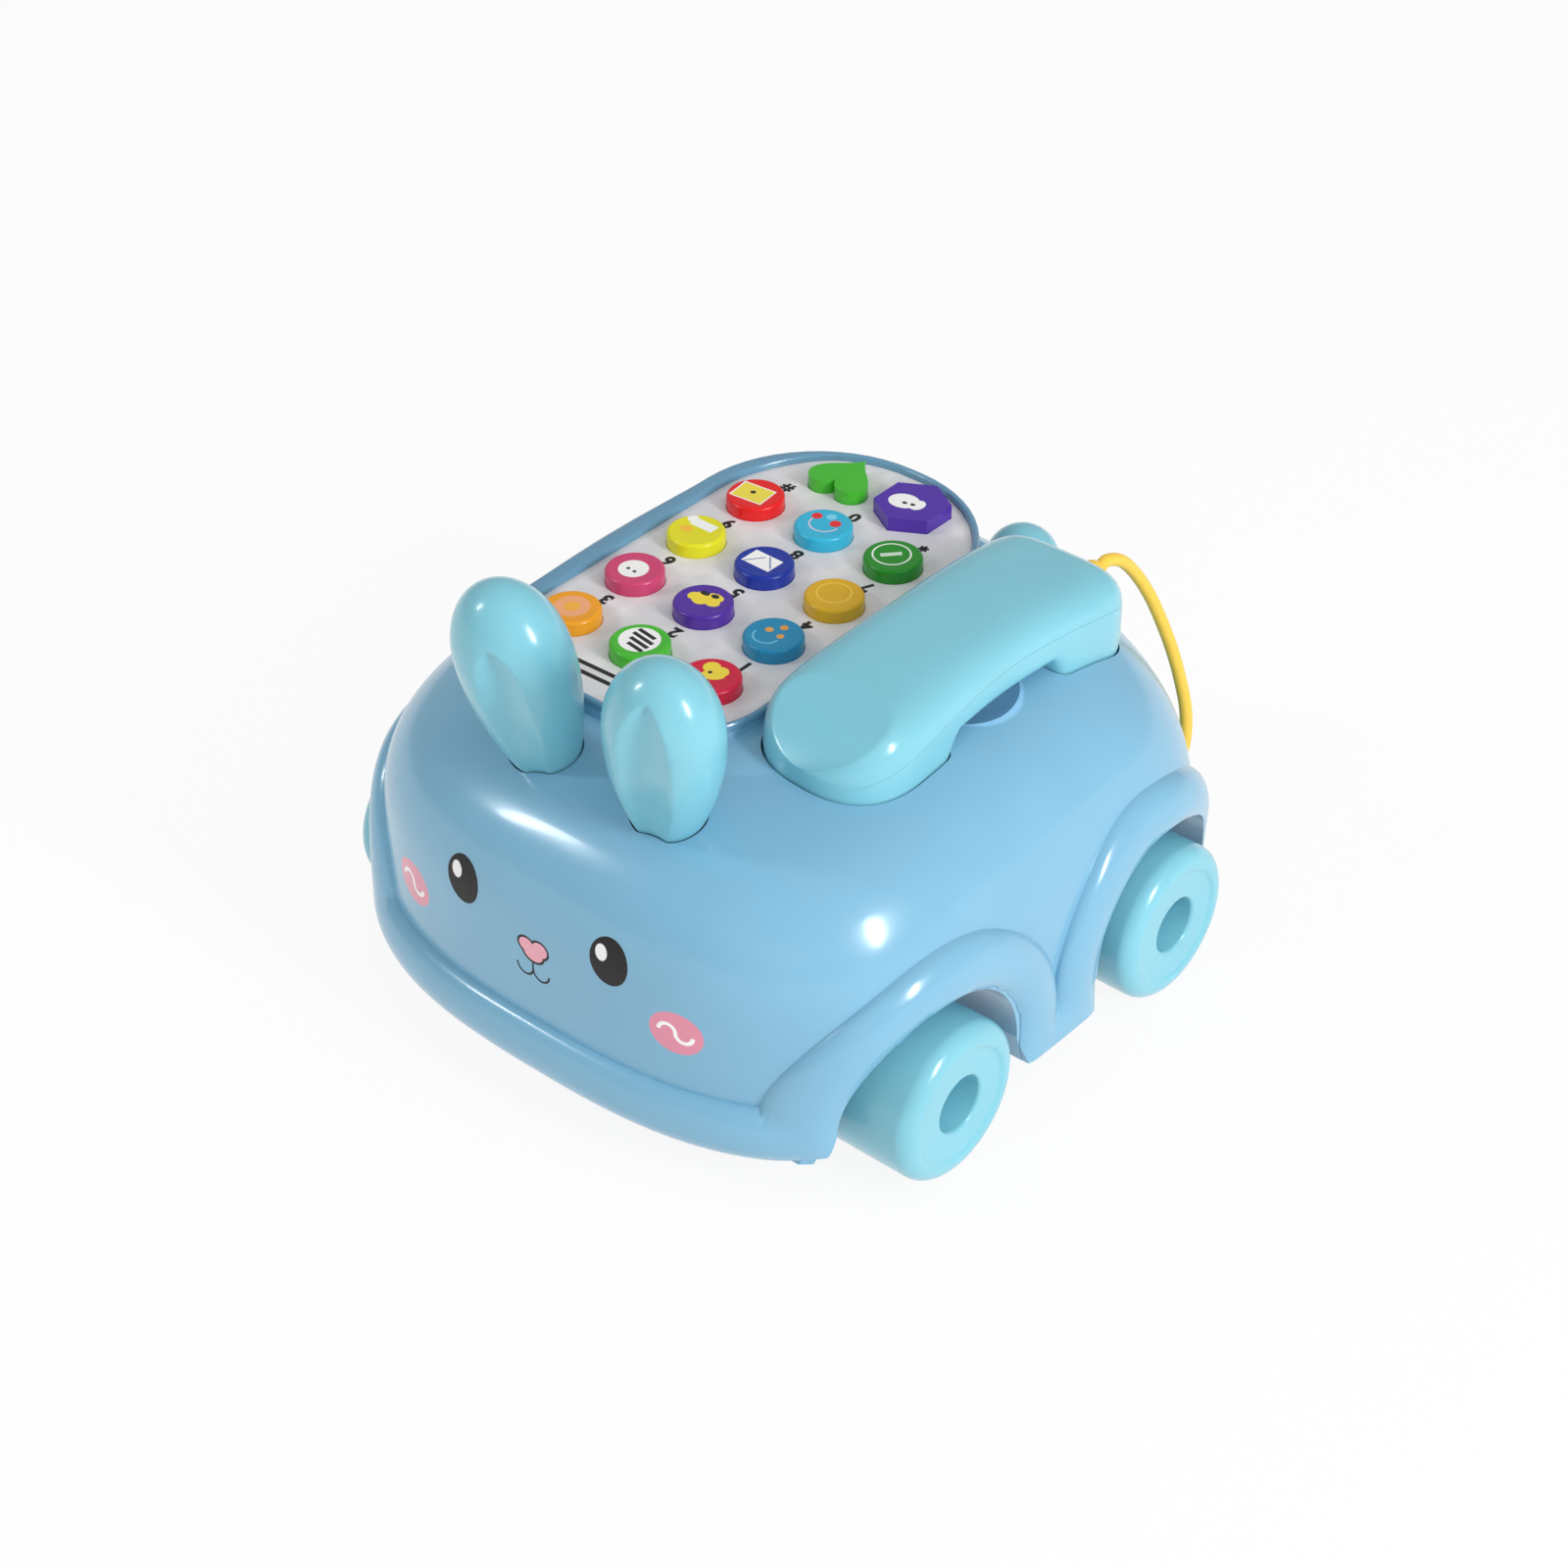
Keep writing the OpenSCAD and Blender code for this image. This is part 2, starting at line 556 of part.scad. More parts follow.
module button_membrane() {
    color("lightgray") difference() {
        union() {
            translate([0, 0, sheet_z]) linear_extrude(sheet_t) keypad_outline(-ledge_w - 1);
            for (at = [for (n = [0 : 11]) key_at(n), heart_at, hexagon_at])
                translate([at[0], at[1], sheet_z]) cylinder(d = 7, h = dome_z - sheet_z);
        }
        for (p = post_at) translate([p[0], p[1], 0]) cylinder(d = post_d + 1, h = 200);
    }
}
module circuit_board() {
    color("seagreen") {
        translate([0, 0, board_z]) linear_extrude(board_t) keypad_outline(-ledge_w - 1);
        translate([plate_x - 8, plate_y - 6, board_z - 1.8]) cube([12, 16, 1.9]);
        translate([plate_x + 14, plate_y + 20, board_z - 6]) cylinder(d = 5, h = 6.1);
        translate([plate_x - 24, plate_y + 30, board_z - 1.2]) cube([7, 4, 1.3]);
    }
}

// ---------- wheels ----------

module wheel(n, side) {
    r = wheel_r;
    e = 4.6;
    color(aqua) translate([0, axle_y[n], wheel_r]) mirror([side < 0 ? 1 : 0, 0, 0])
        translate([wheel_face - wheel_w, 0, 0]) rotate([0, 90, 0]) rotate_extrude($fn = 64) difference() {
            union() {
                square([r - e, wheel_w]);
                square([r, wheel_w - e]);
                translate([r - e, wheel_w - e]) circle(e, $fn = 48);
            }
            square([axle_d / 2 + 0.02, 2 * wheel_w], center = true);
            square([axle_d / 2 + 0.02, wheel_w]);
            translate([0, wheel_w - 12]) square([hub_d / 2, 20]);
            translate([hub_d / 2 + 4.6, wheel_w - 0.9]) square([1.2, 3]);
            translate([9, -1]) square([r - 9 - 3, 9]);
        }
}
module axle(n) {
    half = wheel_face - 12 + 5;
    color("silver") translate([-half, axle_y[n], wheel_r]) rotate([0, 90, 0]) cylinder(d = axle_d, h = 2 * half);
}

// ---------- sound and power ----------

module speaker() {
    color("dimgray") translate([speaker_at[0], speaker_at[1], clearance_z + floor_t]) rotate_extrude() polygon([
        [0, 3], [5, 2.6], [14, 1.2], [14.5, 0], [speaker_d / 2, 0], [speaker_d / 2, 2], [16, 3.4],
        [11, 8], [11, 13], [0, 13]]);
}
module speaker_ring() {
    color("slategray") translate([speaker_at[0], speaker_at[1], clearance_z + floor_t + 4]) difference() {
        cylinder(d = speaker_d + 4, h = 1.6);
        translate([0, 0, -1]) cylinder(d = speaker_d - 3, h = 4);
    }
}
module power_switch() {
    color("black") translate([switch_at[0], switch_at[1], clearance_z]) union() {
        translate([-slot_l / 2 + slide_fit, -slot_w / 2 + slide_fit, -1.6])
            cube([knob_l, slot_w - 2 * slide_fit, floor_t + 1.6 + 0.15]);
        translate([-slot_l / 2 - 3, -slot_w / 2 - 2, floor_t + 0.1])
            cube([slot_l + 2, slot_w + 4, 3]);
    }
}
module battery_door() {
    color(body_blue) translate([0, wheel_mid_y, clearance_z]) difference() {
        translate([-door_l / 2 + fit, -door_w / 2 + fit, 0]) cube([door_l - 2 * fit, door_w - 2 * fit, door_t - 0.05]);
        translate([door_screw_x, 0, -1]) cylinder(d = 2.4, h = 8);
        translate([door_screw_x, 0, -1]) cylinder(d = 4.6, h = 2.25);
    }
}
module screw(d, head_d, head_h, l) {
    rotate_extrude($fn = 32) difference() {
        polygon([[0, 0], [head_d / 2 - 0.5, 0], [head_d / 2, 0.5], [head_d / 2, head_h], [d / 2, head_h],
            [d / 2, l - 1], [0, l]]);
        square([0.6, 0.8]);
    }
}
module door_screw() {
    color("silver") translate([door_screw_x, wheel_mid_y, clearance_z + 0.2]) screw(1.7, 4.2, 0.9, 6);
}
module base_screws() {
    color("silver") for (b = boss_at) translate([b[0], b[1], clearance_z + 0.1]) screw(screw_d - 0.1, 5.6, 1.1, 14);
}
module batteries() {
    color("darkgray") for (i = [-1 : 1])
        translate([0, wheel_mid_y + i * cell_pitch, clearance_z + door_t + cell_d / 2 + 0.4])
            rotate([0, i == 0 ? -90 : 90, 0]) translate([0, 0, -cell_l / 2 - 0.5]) {
                cylinder(d = cell_d, h = cell_l);
                cylinder(d = 5.2, h = cell_l + 1.2);
            }
}
module battery_contacts() {
    color("gold") for (i = [-1 : 1], s = [-1, 1])
        translate([s * (box_l / 2 - 0.3), wheel_mid_y + i * cell_pitch, clearance_z + door_t + cell_d / 2 + 0.4]) {
            cube([0.5, 10, 11], center = true);
            rotate([0, -90 * s, 0]) cylinder(d1 = 8, d2 = 6, h = box_l / 2 - cell_l / 2 - 2.3);
        }
}

// ---------- handset pieces ----------

handset_screw_at = [for (y = [handset_y0 + 19, handset_y1 - 15]) [handset_x, y]];

module handset_upper() {
    color(aqua) difference() {
        handset_solid(0, "upper");
        translate(CORD[0] - [0, grommet_l + 0.05, 0]) rotate([-90, 0, 0]) cylinder(d = gland_d + 0.1, h = 3 * grommet_l);
    }
}
module handset_lower() {
    color(aqua) difference() {
        handset_solid(0, "lower");
        for (c = handset_screw_at, i = [0 : 5]) translate([c[0], c[1], 0]) rotate(60 * i) translate([6, 0, handset_foot - 1])
            cylinder(d = 2.2, h = 4.5);
        for (c = handset_screw_at) translate([c[0], c[1], handset_foot - 1]) cylinder(d = 4.4, h = 6);
    }
}
module handset_screws() {
    color("silver") for (c = handset_screw_at) translate([c[0], c[1], handset_foot + 2]) screw(2, 4.2, 1.2, 3);
}

module handset_grommet() {
    color("gold") translate(CORD[0] - [0, grommet_l, 0]) rotate([-90, 0, 0]) {
        cylinder(d = gland_d, h = grommet_l - 1);
        translate([0, 0, grommet_l - 1 - eps]) cylinder(d1 = gland_d, d2 = cord_d + 1, h = 1 + eps);
    }
}
module cord_gland() {
    color("gold") translate(CORD[len(CORD) - 1] - [0, 0, gland_l]) cylinder(d = gland_d, h = gland_l);
}

CORD_SIDES = 10;
CORD_PART = 2;
function spline(p, i, t) =
    let (n = len(p) - 1, a = p[max(0, i - 1)], b = p[i], c = p[min(n, i + 1)], d = p[min(n, i + 2)])
    0.5 * (2 * b + (c - a) * t + (2 * a - 5 * b + 4 * c - d) * t * t + (3 * b - a - 3 * c + d) * t * t * t);
function fine(p, n) = [for (i = [0 : len(p) - 2], k = [0 : n - 1]) spline(p, i, k / n), p[len(p) - 1]];
// The cord leaves the handset level and enters the gland straight down
function tangent(p, i) = i == 0 ? [0, 1, 0] : i == len(p) - 1 ? [0, 0, -1] : unit(p[i + 1] - p[i - 1]);
module handset_cord() {
    line = fine(CORD, CORD_PART);
    color("gold") loft([for (i = [0 : len(line) - 1])
        let (t = tangent(line, i), u = unit(cross(t, [1, 0, 0])), v = cross(t, u))
        [for (k = [0 : CORD_SIDES - 1])
            let (a = 360 * k / CORD_SIDES) line[i] + cord_d / 2 * (cos(a) * u + sin(a) * v)]]);
}

upper_shell();
lower_shell();
keypad_plate();
button_membrane();
circuit_board();
for (n = [0 : 11]) button("round", key_at(n), DIGIT_COLORS[n]);
button("heart", heart_at, "limegreen");  // button_heart
button("hexagon", hexagon_at, "rebeccapurple");  // button_hexagon
color(aqua) ear(1);  // ear_left
color(aqua) ear(-1);  // ear_right
tail();
wheel(0, 1);  // wheel_front_left
wheel(0, -1);  // wheel_front_right
wheel(1, 1);  // wheel_rear_left
wheel(1, -1);  // wheel_rear_right
axle(0);  // front_axle
axle(1);  // rear_axle
speaker();
speaker_ring();
power_switch();
battery_door();
door_screw();
batteries();
battery_contacts();
base_screws();
handset_upper();
handset_lower();
handset_screws();
handset_grommet();
cord_gland();
handset_cord();
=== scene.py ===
import math
import bpy
from mathutils import Vector, Matrix


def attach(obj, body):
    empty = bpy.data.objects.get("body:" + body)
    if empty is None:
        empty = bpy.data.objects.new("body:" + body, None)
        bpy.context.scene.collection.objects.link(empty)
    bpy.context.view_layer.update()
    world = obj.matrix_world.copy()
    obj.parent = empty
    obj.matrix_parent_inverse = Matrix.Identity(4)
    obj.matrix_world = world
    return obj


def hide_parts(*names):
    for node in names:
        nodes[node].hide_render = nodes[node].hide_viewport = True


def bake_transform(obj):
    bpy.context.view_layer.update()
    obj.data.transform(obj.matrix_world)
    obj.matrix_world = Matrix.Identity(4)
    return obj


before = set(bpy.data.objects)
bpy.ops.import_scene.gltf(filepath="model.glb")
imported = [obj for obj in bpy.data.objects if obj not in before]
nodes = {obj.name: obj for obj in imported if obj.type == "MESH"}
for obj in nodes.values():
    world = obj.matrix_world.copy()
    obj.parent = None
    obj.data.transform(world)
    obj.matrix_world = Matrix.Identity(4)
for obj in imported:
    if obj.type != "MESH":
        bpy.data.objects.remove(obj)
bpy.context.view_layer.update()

mm = 0.001

# --- Camera -------------------------------------------------------------------
# A long lens to the left front of the toy, about 37 degrees up, looking down on the
# rabbit's face and on the side of the handset.
VIEW_FROM = (455.389, -542.78, 572.439)
VIEW_TURN = 40.369
VIEW_HEIGHT = 36.647
FILM_W, LENS = 36, 75.905
bpy.ops.object.select_all(action="DESELECT")
bpy.ops.object.camera_add(
    location=[v * mm for v in VIEW_FROM],
    rotation=(math.radians(90 - VIEW_HEIGHT), 0, math.radians(VIEW_TURN)))
camera = bpy.context.object
camera.name = "camera"
camera.data.sensor_width = FILM_W
camera.data.lens = LENS
camera.data.clip_end = 20
bpy.context.scene.camera = camera
bpy.context.scene.view_settings.view_transform = "Standard"


# --- Handset cord -------------------------------------------------------------
# A soft yellow vinyl cord, 3.6 mm thick. It leaves the grommet in the back of the handset,
# arches over the dome's back and goes down into a gland behind the rear wheel arch.
CORD_D = 3.6
CORD_ROUTE = [
    (44, 68, 98.5), (44, 70, 98.5), (44, 73, 98.8), (45, 78, 96.6), (46.5, 83, 90.8), (49, 87, 82.8),
    (52, 89.5, 74), (55, 91, 65.5), (58, 91.5, 57), (61, 91, 48), (62.8, 88.8, 40), (63, 85.6, 34),
    (63, 85, 30)]


def spline_point(a, b, c, d, t):
    return tuple(0.5 * (2 * q + (r - p) * t + (2 * p - 5 * q + 4 * r - s) * t * t
                        + (3 * q - p - 3 * r + s) * t ** 3) for p, q, r, s in zip(a, b, c, d))


def fine_route(route, parts):
    ends = [route[0]] + route + [route[-1]]
    line = [spline_point(*ends[i:i + 4], k / parts) for i in range(len(route) - 1) for k in range(parts)]
    return [Vector(p) * mm for p in line + [route[-1]]]


class Value:
    """A number on a shader socket; arithmetic on it adds Math nodes."""

    def __init__(self, finish, socket):
        self.finish = finish
        self.socket = socket

    def math(self, operation, *others):
        return self.finish.node("ShaderNodeMath", {"operation": operation}, {
            i: v for i, v in enumerate((self,) + others)})[0]

    def __add__(self, other):
        return self.math("ADD", other)

    def __sub__(self, other):
        return self.math("SUBTRACT", other)

    def __mul__(self, other):
        return self.math("MULTIPLY", other)

    def __truediv__(self, other):
        return self.math("DIVIDE", other)

    def __rsub__(self, other):
        return (self * -1) + other

    def power(self, other):
        return self.math("POWER", other)

    def below(self, other):
        return self.math("LESS_THAN", other)

    def above(self, other):
        return self.math("GREATER_THAN", other)

    def most(self, other):
        return self.math("MAXIMUM", other)

    def least(self, other):
        return self.math("MINIMUM", other)

    def step(self, edge, soft):
        """1 where the value is below edge, fading to 0 over soft."""
        return ((self * -1 + edge) / soft + 0.5).least(1).most(0)

    def size(self):
        return self.math("ABSOLUTE")

    __radd__ = __add__
    __rmul__ = __mul__


class Finish:
    """A material whose look is built from shader values."""

    def __init__(self, name):
        self.material = bpy.data.materials.new(name)
        self.material.use_nodes = True
        self.tree = self.material.node_tree
        self.shader = self.tree.nodes["Principled BSDF"]

    def node(self, kind, settings=None, values=None):
        """Adds a node and gives its outputs as values."""
        n = self.tree.nodes.new(kind)
        for key, value in (settings or {}).items():
            setattr(n, key, value)
        for key, value in (values or {}).items():
            self.put(n.inputs[key], value)
        return [Value(self, s) for s in n.outputs]

    def put(self, socket, value):
        if isinstance(value, Value):
            self.tree.links.new(value.socket, socket)
        else:
            socket.default_value = value

    def set(self, **values):
        """Sets the main shader's sockets, named with _ for a blank."""
        for key, value in values.items():
            self.put(self.shader.inputs[key.replace("_", " ")], value)

    def place(self):
        """The point on the piece, in millimetres, as (whole vector, x, y, z)."""
        spot = self.node("ShaderNodeTexCoord")[3]
        scaled = self.node("ShaderNodeVectorMath", {"operation": "SCALE"}, {0: spot, "Scale": 1000.0})[0]
        return [scaled] + self.node("ShaderNodeSeparateXYZ", None, {0: scaled})

    def noise(self, spot, scale, detail=2.0):
        return self.node("ShaderNodeTexNoise", {"noise_dimensions": "3D"}, {
            "Vector": spot, "Scale": scale, "Detail": detail})[0]

    def blend(self, amount, low, high):
        """A colour between low and high."""
        out = self.node("ShaderNodeMix", {"data_type": "RGBA"}, {0: amount, 6: low, 7: high})
        return out[2]

    def bump(self, height, strength, distance):
        return self.node("ShaderNodeBump", None, {
            "Height": height, "Strength": strength, "Distance": distance})[0]


def rgb(red, green, blue):
    """A colour as seen on a screen, 0 to 255, made linear."""
    def one(v):
        v /= 255
        return v / 12.92 if v <= 0.04045 else ((v + 0.055) / 1.055) ** 2.4
    return (one(red), one(green), one(blue), 1.0)


def shade(tint, strength):
    """A darker or paler tint."""
    return tuple(min(1.0, c * strength) for c in tint[:3]) + (1.0,)


ORANGE_PEEL = (0.02, 0.0002)
PLASTIC_IOR = 1.48


def moulded(name, tint, rough, coat, drift=0.06):
    """Injection-moulded plastic: a faint drift of colour and gloss, and a trace of orange peel."""
    f = Finish(name)
    spot = f.place()[0]
    broad = f.noise(spot, 0.035)
    fine = f.noise(spot, 0.9, 4.0)
    f.set(Base_Color=f.blend(broad, shade(tint, 1 - drift), shade(tint, 1 + drift)),
          Roughness=fine * 0.06 + (rough - 0.03), Coat_Weight=coat, Coat_Roughness=0.1,
          IOR=PLASTIC_IOR, Normal=f.bump(fine, *ORANGE_PEEL))
    return f


def paint(piece, finish):
    """Gives a piece, or a CAD node, its finish."""
    if not piece.material_slots:
        piece.data.materials.append(finish.material)
    for s in piece.material_slots:
        s.material = finish.material


def select_only(piece):
    bpy.ops.object.select_all(action="DESELECT")
    piece.select_set(True)
    bpy.context.view_layer.objects.active = piece


def smooth_by_angle(piece, angle):
    select_only(piece)
    bpy.ops.object.shade_smooth_by_angle(angle=math.radians(angle))


CORD_YELLOW = rgb(244, 200, 74)
vinyl = moulded("cord_vinyl", CORD_YELLOW, rough=0.4, coat=0.1)
cord_line = fine_route(CORD_ROUTE, 6)
cord_curve = bpy.data.curves.new("cord", "CURVE")
cord_curve.dimensions = "3D"
run = cord_curve.splines.new("POLY")
run.points.add(len(cord_line) - 1)
for p, at in zip(run.points, cord_line):
    p.co = (*at, 1)
cord_curve.bevel_depth = CORD_D / 2 * mm
cord_curve.bevel_resolution = 6
cord_curve.use_fill_caps = True
cord = bpy.data.objects.new("cord", cord_curve)
bpy.context.scene.collection.objects.link(cord)
select_only(cord)
bpy.ops.object.convert(target="MESH")
cord = bpy.context.object
smooth_by_angle(cord, 50)
paint(cord, vinyl)
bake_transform(cord)
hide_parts("handset_cord")
for name in ("handset_grommet", "cord_gland"):
    paint(nodes[name], vinyl)


# --- Dome ---------------------------------------------------------------------
# The upper shell, one blue glossy moulding: rounded nose and back, a bumper band that rises
# into the wheel arches, the cradle, the finger scoop and the raised rim of the keypad.
DOME_TOP = 93.5
HALF_W = 88.4
NOSE_Y = -102
BACK_Y = 98
PLATE_Y0, PLATE_Y1, PLATE_X, PLATE_W = -58.8, 76, -24, 80
DECK_Z, RIM_H, RIM_W, LEDGE_W = 95.5, 2, 2, 4
BOTTOM_Z, BAND_W, BAND_OUT = 12.5, 16, 4.5
AXLE_Y, WHEEL_R, ARCH_R = (-52, 40), 22.1, 29.1
ARCH_FOOT = 35.6
MID_Y = -6
CREASE_Z, VALLEY_Z = 29, 22
FRONT_ROUND, BACK_ROUND = 66, 58
NOSE_POWER, BACK_POWER, SIDE_BOW = 2.7, 2.2, 0.8
WALL, HOLLOW_Z = 2.5, 62
nose_side = [(-NOSE_Y, 0.6 * DOME_TOP), (-NOSE_Y, 0.835 * DOME_TOP),
             (-NOSE_Y - 12.5, 0.965 * DOME_TOP), (-PLATE_Y0 - 5, DOME_TOP)]
back_side = [(BACK_Y, 0.41 * DOME_TOP), (BACK_Y - 2, 0.67 * DOME_TOP),
             (BACK_Y - 14, 0.9 * DOME_TOP), (BACK_Y - 32, DOME_TOP)]
flank = [(HALF_W, 0.47 * DOME_TOP), (HALF_W, 0.77 * DOME_TOP),
         (HALF_W - 8.4, 0.975 * DOME_TOP), (HALF_W - 38, DOME_TOP)]


def bezier(p, t):
    u = 1 - t
    return tuple(u ** 3 * a + 3 * u * u * t * b + 3 * u * t * t * c + t ** 3 * d
                 for a, b, c, d in zip(*p))


def out_at(curve, z):
    """How far out the side view is at height z."""
    if z <= curve[0][1]:
        return curve[0][0]
    low, high = 0.0, 1.0
    for _ in range(26):
        mid = (low + high) / 2
        low, high = (mid, high) if bezier(curve, mid)[1] < z else (low, mid)
    return bezier(curve, low)[0]


def corner(a, b, turn, n):
    s, c = math.sin(turn), math.cos(turn)
    r = (abs(s) / a) ** n + (abs(c) / b) ** n
    return (s * r ** (-1 / n), -c * r ** (-1 / n))


def plan(s, z, grow):
    """Outline of the dome at height z.

    s goes from 0 to 1 round the nose, to 2 along the side and to 3 round the back.
    """
    w = out_at(flank, z) + grow
    front = -out_at(nose_side, z) + FRONT_ROUND
    back = out_at(back_side, z) - BACK_ROUND
    if s <= 1:
        x, y = corner(w, FRONT_ROUND + grow, math.pi / 2 * s, NOSE_POWER)
        return x, front + y
    if s < 2:
        u = 2 * (s - 1) - 1
        return w + SIDE_BOW * (1 - u * u) ** 2, (front + back + (back - front) * u) / 2
    x, y = corner(w, BACK_ROUND + grow, math.pi / 2 * (3 - s), BACK_POWER)
    return x, back - y


BAND_R = ARCH_R + 15
REACH = ((BAND_R - 5, BAND_R + 2), (BAND_R + 2, BAND_R - 5))


def arch_top(y, n):
    u = (y - AXLE_Y[n]) / REACH[n][0 if y < AXLE_Y[n] else 1]
    return WHEEL_R + (BAND_R - 0.5) * math.sqrt(1 - u * u) if abs(u) < 1 else 0


def edge_base(y):
    return VALLEY_Z if abs(y - MID_Y) < (AXLE_Y[1] - AXLE_Y[0]) / 2 else CREASE_Z


def edge_z(y):
    return max(arch_top(y, 0), arch_top(y, 1), edge_base(y))


def band_depth(y, z):
    deep = [edge_base(y) - z]
    for n in (0, 1):
        reach = REACH[n][0 if y < AXLE_Y[n] else 1]
        deep.append((1 - math.hypot((y - AXLE_Y[n]) / reach, (z - WHEEL_R) / (BAND_R - 0.5))) * BAND_R)
    return max(deep)


def band_grow(d):
    return 0 if d <= 0 or d >= BAND_W else BAND_OUT * math.sqrt(1 - (2 * d / BAND_W - 1) ** 2)


def even_columns(count):
    """Places along half of the outline, evenly spaced along the band's upper edge."""
    fine = [3 * i / 1500 for i in range(1501)]
    line = []
    for s in fine:
        x, y = plan(s, CREASE_Z, 0)
        line.append(Vector((x, y, edge_z(y))))
    run = [0.0]
    for a, b in zip(line, line[1:]):
        run.append(run[-1] + (b - a).length)
    out, i = [], 0
    for k in range(count + 1):
        want = run[-1] * k / count
        while i < 1499 and run[i + 1] < want:
            i += 1
        part = (want - run[i]) / max(1e-9, run[i + 1] - run[i])
        out.append(fine[i] + part * (fine[i + 1] - fine[i]))
    return out


def mesh_piece(name, points, faces):
    """A closed mesh from points in millimetres."""
    data = bpy.data.meshes.new(name)
    data.from_pydata([(x * mm, y * mm, z * mm) for x, y, z in points], [], faces)
    piece = bpy.data.objects.new(name, data)
    bpy.context.scene.collection.objects.link(piece)
    return piece


def ring_faces(n, rows, start=0):
    return [(start + j * n + i, start + j * n + (i + 1) % n,
             start + (j + 1) * n + (i + 1) % n, start + (j + 1) * n + i)
            for j in range(rows - 1) for i in range(n)]


def loft_piece(name, rings, first, last):
    """Rings of equal count, closed by a point at each end."""
    n = len(rings[0])
    points = [p for r in rings for p in r] + [first, last]
    end = len(points) - 1
    faces = ring_faces(n, len(rings))
    faces += [(end - 1, (i + 1) % n, i) for i in range(n)]
    faces += [(end, end - 1 - n + i, end - 1 - n + (i + 1) % n) for i in range(n)]
    return mesh_piece(name, points, faces)


def face_outwards(piece):
    select_only(piece)
    bpy.ops.object.mode_set(mode="EDIT")
    bpy.ops.mesh.select_all(action="SELECT")
    bpy.ops.mesh.remove_doubles(threshold=0.00001)
    bpy.ops.mesh.normals_make_consistent(inside=False)
    bpy.ops.object.mode_set(mode="OBJECT")


def combine(piece, tool, operation):
    """Cuts the tool out of the piece, or joins it on, and drops the tool."""
    select_only(piece)
    m = piece.modifiers.new("cut", "BOOLEAN")
    m.operation = operation
    m.solver = "MANIFOLD"
    m.object = tool
    bpy.ops.object.modifier_apply(modifier=m.name)
    bpy.data.objects.remove(tool)


HALF_COLUMNS = 170
half = even_columns(HALF_COLUMNS)
columns = [(s, 1) for s in half] + [(s, -1) for s in half[-2:0:-1]]
seat = [plan(s, CREASE_Z, 0)[1] for s, side in columns]
rings = []
for z in (HOLLOW_Z, BOTTOM_Z):
    rings.append([(side * plan(s, z, -WALL)[0], plan(s, z, -WALL)[1], z) for s, side in columns])
BELOW_ROWS, ABOVE_ROWS = 18, 30
for j in range(BELOW_ROWS + 1):
    d = (1 - j / BELOW_ROWS) ** 1.7
    ring = []
    for (s, side), y0 in zip(columns, seat):
        top = edge_z(y0)
        z = top - d * (top - BOTTOM_Z)
        x, y = plan(s, z, band_grow(band_depth(y0, z)))
        ring.append((side * x, y, z))
    rings.append(ring)
for j in range(1, ABOVE_ROWS + 1):
    ring = []
    for (s, side), y0 in zip(columns, seat):
        top = edge_z(y0)
        z = top + (DOME_TOP - top) * math.sin(math.pi / 2 * j / ABOVE_ROWS)
        x, y = plan(s, z, 0)
        ring.append((side * x, y, z))
    rings.append(ring)
dome = loft_piece("dome", rings, (0, 0, HOLLOW_Z), (0, 6, DOME_TOP + 1.2))
face_outwards(dome)


def ease(t):
    t = max(0.0, min(1.0, t))
    return t * t * (3 - 2 * t)


PLATE_FRONT_R, PLATE_BACK_R = 22, 38
PLATE_MID_Y = 8
SHOULDER_HALF, LIP_START, LIP_RUN = 34, 18, 20
LEFT_PARTS = 24


def keypad_outline(grow, swell=0.0, lip=0.0, steps=14):
    """The keypad's outline: small corners in front and a nearly round back.

    The left side bulges out by swell at its middle and draws in by lip.
    """
    w, front, back = PLATE_W / 2, PLATE_FRONT_R, PLATE_BACK_R
    line = []
    for cx, cy, r, start in ((1, 1, back, 0), (-1, 1, back, 90), (-1, -1, front, 180), (1, -1, front, 270)):
        y0 = PLATE_Y1 - back if cy > 0 else PLATE_Y0 + front
        for i in range(steps + 1):
            a = math.radians(start + 90 * i / steps)
            line.append((PLATE_X + cx * (w - r) + (r + grow) * math.cos(a), y0 + (r + grow) * math.sin(a)))
    back_left, front_left = line[2 * steps + 1], line[2 * steps + 2]
    left_side = [tuple(a + (b - a) * k / LEFT_PARTS for a, b in zip(back_left, front_left))
                 for k in range(1, LEFT_PARTS)]
    line[2 * steps + 2:2 * steps + 2] = left_side
    shifted = []
    for x, y in line:
        bulge = swell * (1 - min(1, abs(y / SHOULDER_HALF)) ** 2) * (x < PLATE_X)
        shifted.append((x - bulge + lip * ease((PLATE_X - LIP_START - x) / LIP_RUN), y))
    return shifted


def keypad_loft(name, profile, lip=0.0):
    """A solid with the keypad's outline, from (growth, height, swelling) levels going up."""
    rings = []
    for grow, z, *swell in profile:
        rings.append([(x, y, z) for x, y in keypad_outline(grow, *swell, lip=lip)])
    low, high = profile[0][1], profile[-1][1]
    return loft_piece(name, rings, (PLATE_X, PLATE_MID_Y, low), (PLATE_X, PLATE_MID_Y, high))


